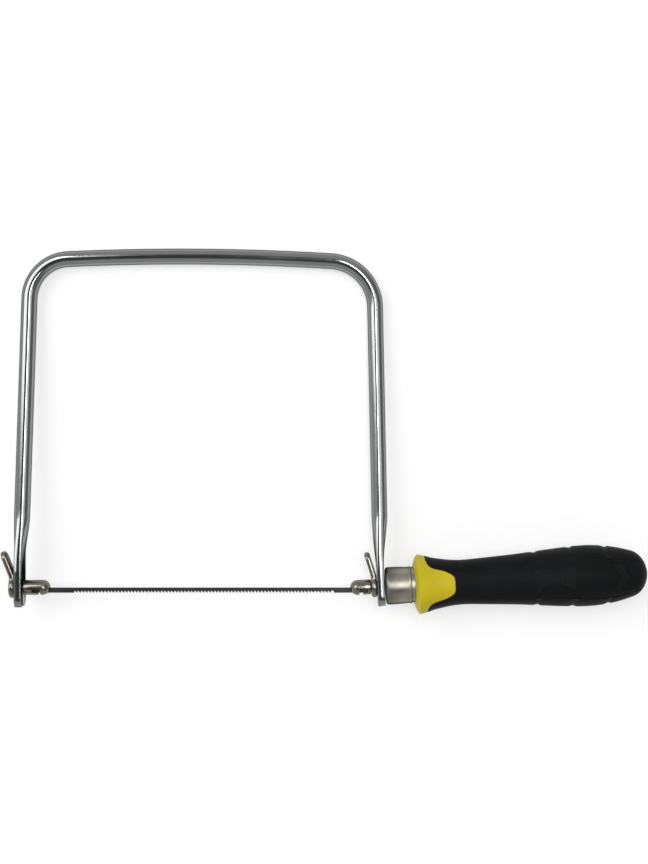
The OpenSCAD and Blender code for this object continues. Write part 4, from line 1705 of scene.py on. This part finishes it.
def light_world(scene, stage):
    """Studio room with two large soft boxes: grey walls, dark round the camera."""
    world = bpy.data.worlds.new("studio")
    scene.world = world
    world.use_nodes = True
    tree = world.node_tree
    way = add_node(tree, "ShaderNodeTexCoord").outputs["Generated"]
    x, y, z = add_node(tree, "ShaderNodeSeparateXYZ", {0: way}).outputs
    lean = calculate(tree, "ARCCOSINE", z)
    left_bearing = calculate(tree, "ARCTAN2", y, calculate(tree, "MULTIPLY", x, -1.0))
    right_bearing = calculate(tree, "ARCTAN2", y, x)
    walls_from, walls_to = 18, 44
    dark_edge, dark_full = 70, 30
    room = soft_step(tree, lean, walls_from, walls_to)
    dark = soft_step(tree, calculate(tree, "ABSOLUTE", right_bearing), dark_edge, dark_full)
    wall = calculate(tree, "MULTIPLY_ADD", dark, stage.dark_glow - stage.wall_glow, stage.wall_glow)
    wall = calculate(tree, "SUBTRACT", wall, stage.top_glow)
    level = calculate(tree, "MULTIPLY_ADD", room, wall, stage.top_glow)
    total = point_of(tree, level, level, level)
    rightwards = calculate(tree, "ARCTAN2", x, z)
    upwards = calculate(tree, "ARCTAN2", y, z)
    right_near = calculate(tree, "MULTIPLY_ADD", upwards, RIGHT_SKEW, rightwards)
    left = soft_box(tree, lean, lean, left_bearing, **LEFT_BOX)
    right = soft_box(tree, lean, right_near, right_bearing, **RIGHT_BOX)
    for box, tint, box_glow in ((left, LEFT_TINT, stage.left_glow), (right, RIGHT_TINT, stage.right_glow)):
        patch = calculate(tree, "MULTIPLY", box, box_glow)
        light = add_node(tree, "ShaderNodeVectorMath", {0: tint, "Scale": patch}, operation="SCALE")
        lit = add_node(tree, "ShaderNodeVectorMath", {0: total, 1: light.outputs[0]}, operation="ADD")
        total = lit.outputs[0]
    set_inputs(tree, tree.nodes["Background"], {"Color": total, "Strength": 1.0})


def soft_lamp(name, spot, width, reach, radiance):
    """Soft oval lamp over the saw that faces its middle."""
    light = bpy.data.lights.new(name, "AREA")
    light.shape = "ELLIPSE"
    light.size = width
    light.size_y = reach
    light.energy = radiance * math.pi * math.pi * width * reach / 4
    made = new_object(light, name)
    away = Vector(spot).normalized()
    across = Vector((0, 1, 0)).cross(away).normalized()
    made.matrix_world = SAW @ place_from(Vector(spot), across, away.cross(across), away)


def lay_floor(stage):
    """Floor under the saw."""
    bm = bmesh.new()
    bmesh.ops.create_grid(bm, x_segments=8, y_segments=8, size=4)
    mesh = bpy.data.meshes.new("floor")
    bm.to_mesh(mesh)
    bm.free()
    mesh.materials.append(floor_finish(stage))
    new_object(mesh, "floor")


def set_camera(scene, stage):
    """Camera that looks straight down on the saw's own plane."""
    camera = bpy.data.cameras.new("camera")
    camera.sensor_fit = "VERTICAL"
    camera.sensor_height = 36
    camera.lens = camera.sensor_height * stage.distance / stage.field
    made = new_object(camera, "camera")
    aim = SAW @ Vector((stage.aim_x, stage.aim_y, 0))
    made.location = aim + saw_z * stage.distance
    made.rotation_euler = (math.atan2(saw_y.z, saw_y.y), 0, 0)
    scene.camera = made


class SAW_OT_stage(bpy.types.Operator):
    """Make the floor, the lights and the camera"""
    bl_idname = "saw.stage"
    bl_label = "Stage"

    def execute(self, context):
        scene = context.scene
        stage = scene.saw.stage
        scene.view_settings.view_transform = "Standard"
        lay_floor(stage)
        light_world(scene, stage)
        soft_lamp("strip_lamp", STRIP_AT, STRIP_W, STRIP_LEN, stage.lamp_glow)
        soft_lamp("far_lamp", FAR_AT, FAR_W, FAR_W, stage.far_glow)
        set_camera(scene, stage)
        return {"FINISHED"}


class SAW_PT_sidebar(bpy.types.Panel):
    """Settings of the saw and the steps that build it"""
    bl_idname = "SAW_PT_sidebar"
    bl_label = "Coping saw"
    bl_space_type = "VIEW_3D"
    bl_region_type = "UI"
    bl_category = "Coping saw"

    def draw(self, context):
        settings = context.scene.saw
        for part in (settings.bow, settings.blade, settings.holder, settings.lever,
                     settings.handle, settings.finish, settings.stage):
            box = self.layout.box()
            for key in part.bl_rna.properties.keys():
                if key not in ("rna_type", "name"):
                    box.prop(part, key)
        for step in STEPS:
            self.layout.operator(step.bl_idname)


GROUPS = (BowSizes, BladeSizes, HolderSizes, LeverSizes, HandleSizes, Finishes, StageSettings, SawSettings)
STEPS = (SAW_OT_bow, SAW_OT_holders, SAW_OT_levers, SAW_OT_blade, SAW_OT_ferrule, SAW_OT_handle,
         SAW_OT_nut, SAW_OT_stage)
CLASSES = GROUPS + STEPS + (SAW_PT_sidebar,)


def register():
    """Adds the classes and the scene's settings."""
    for made in CLASSES:
        bpy.utils.register_class(made)
    bpy.types.Scene.saw = PointerProperty(
        name="Coping saw", description="Settings of the saw", type=SawSettings)


def unregister():
    """Takes the classes and the scene's settings away."""
    del bpy.types.Scene.saw
    for made in reversed(CLASSES):
        bpy.utils.unregister_class(made)


def main():
    """Builds everything in order."""
    register()
    bpy.ops.saw.bow()
    bpy.ops.saw.holders()
    bpy.ops.saw.levers()
    bpy.ops.saw.blade()
    bpy.ops.saw.ferrule()
    bpy.ops.saw.handle()
    bpy.ops.saw.nut()
    bpy.ops.saw.stage()


if __name__ == "__main__":
    main()
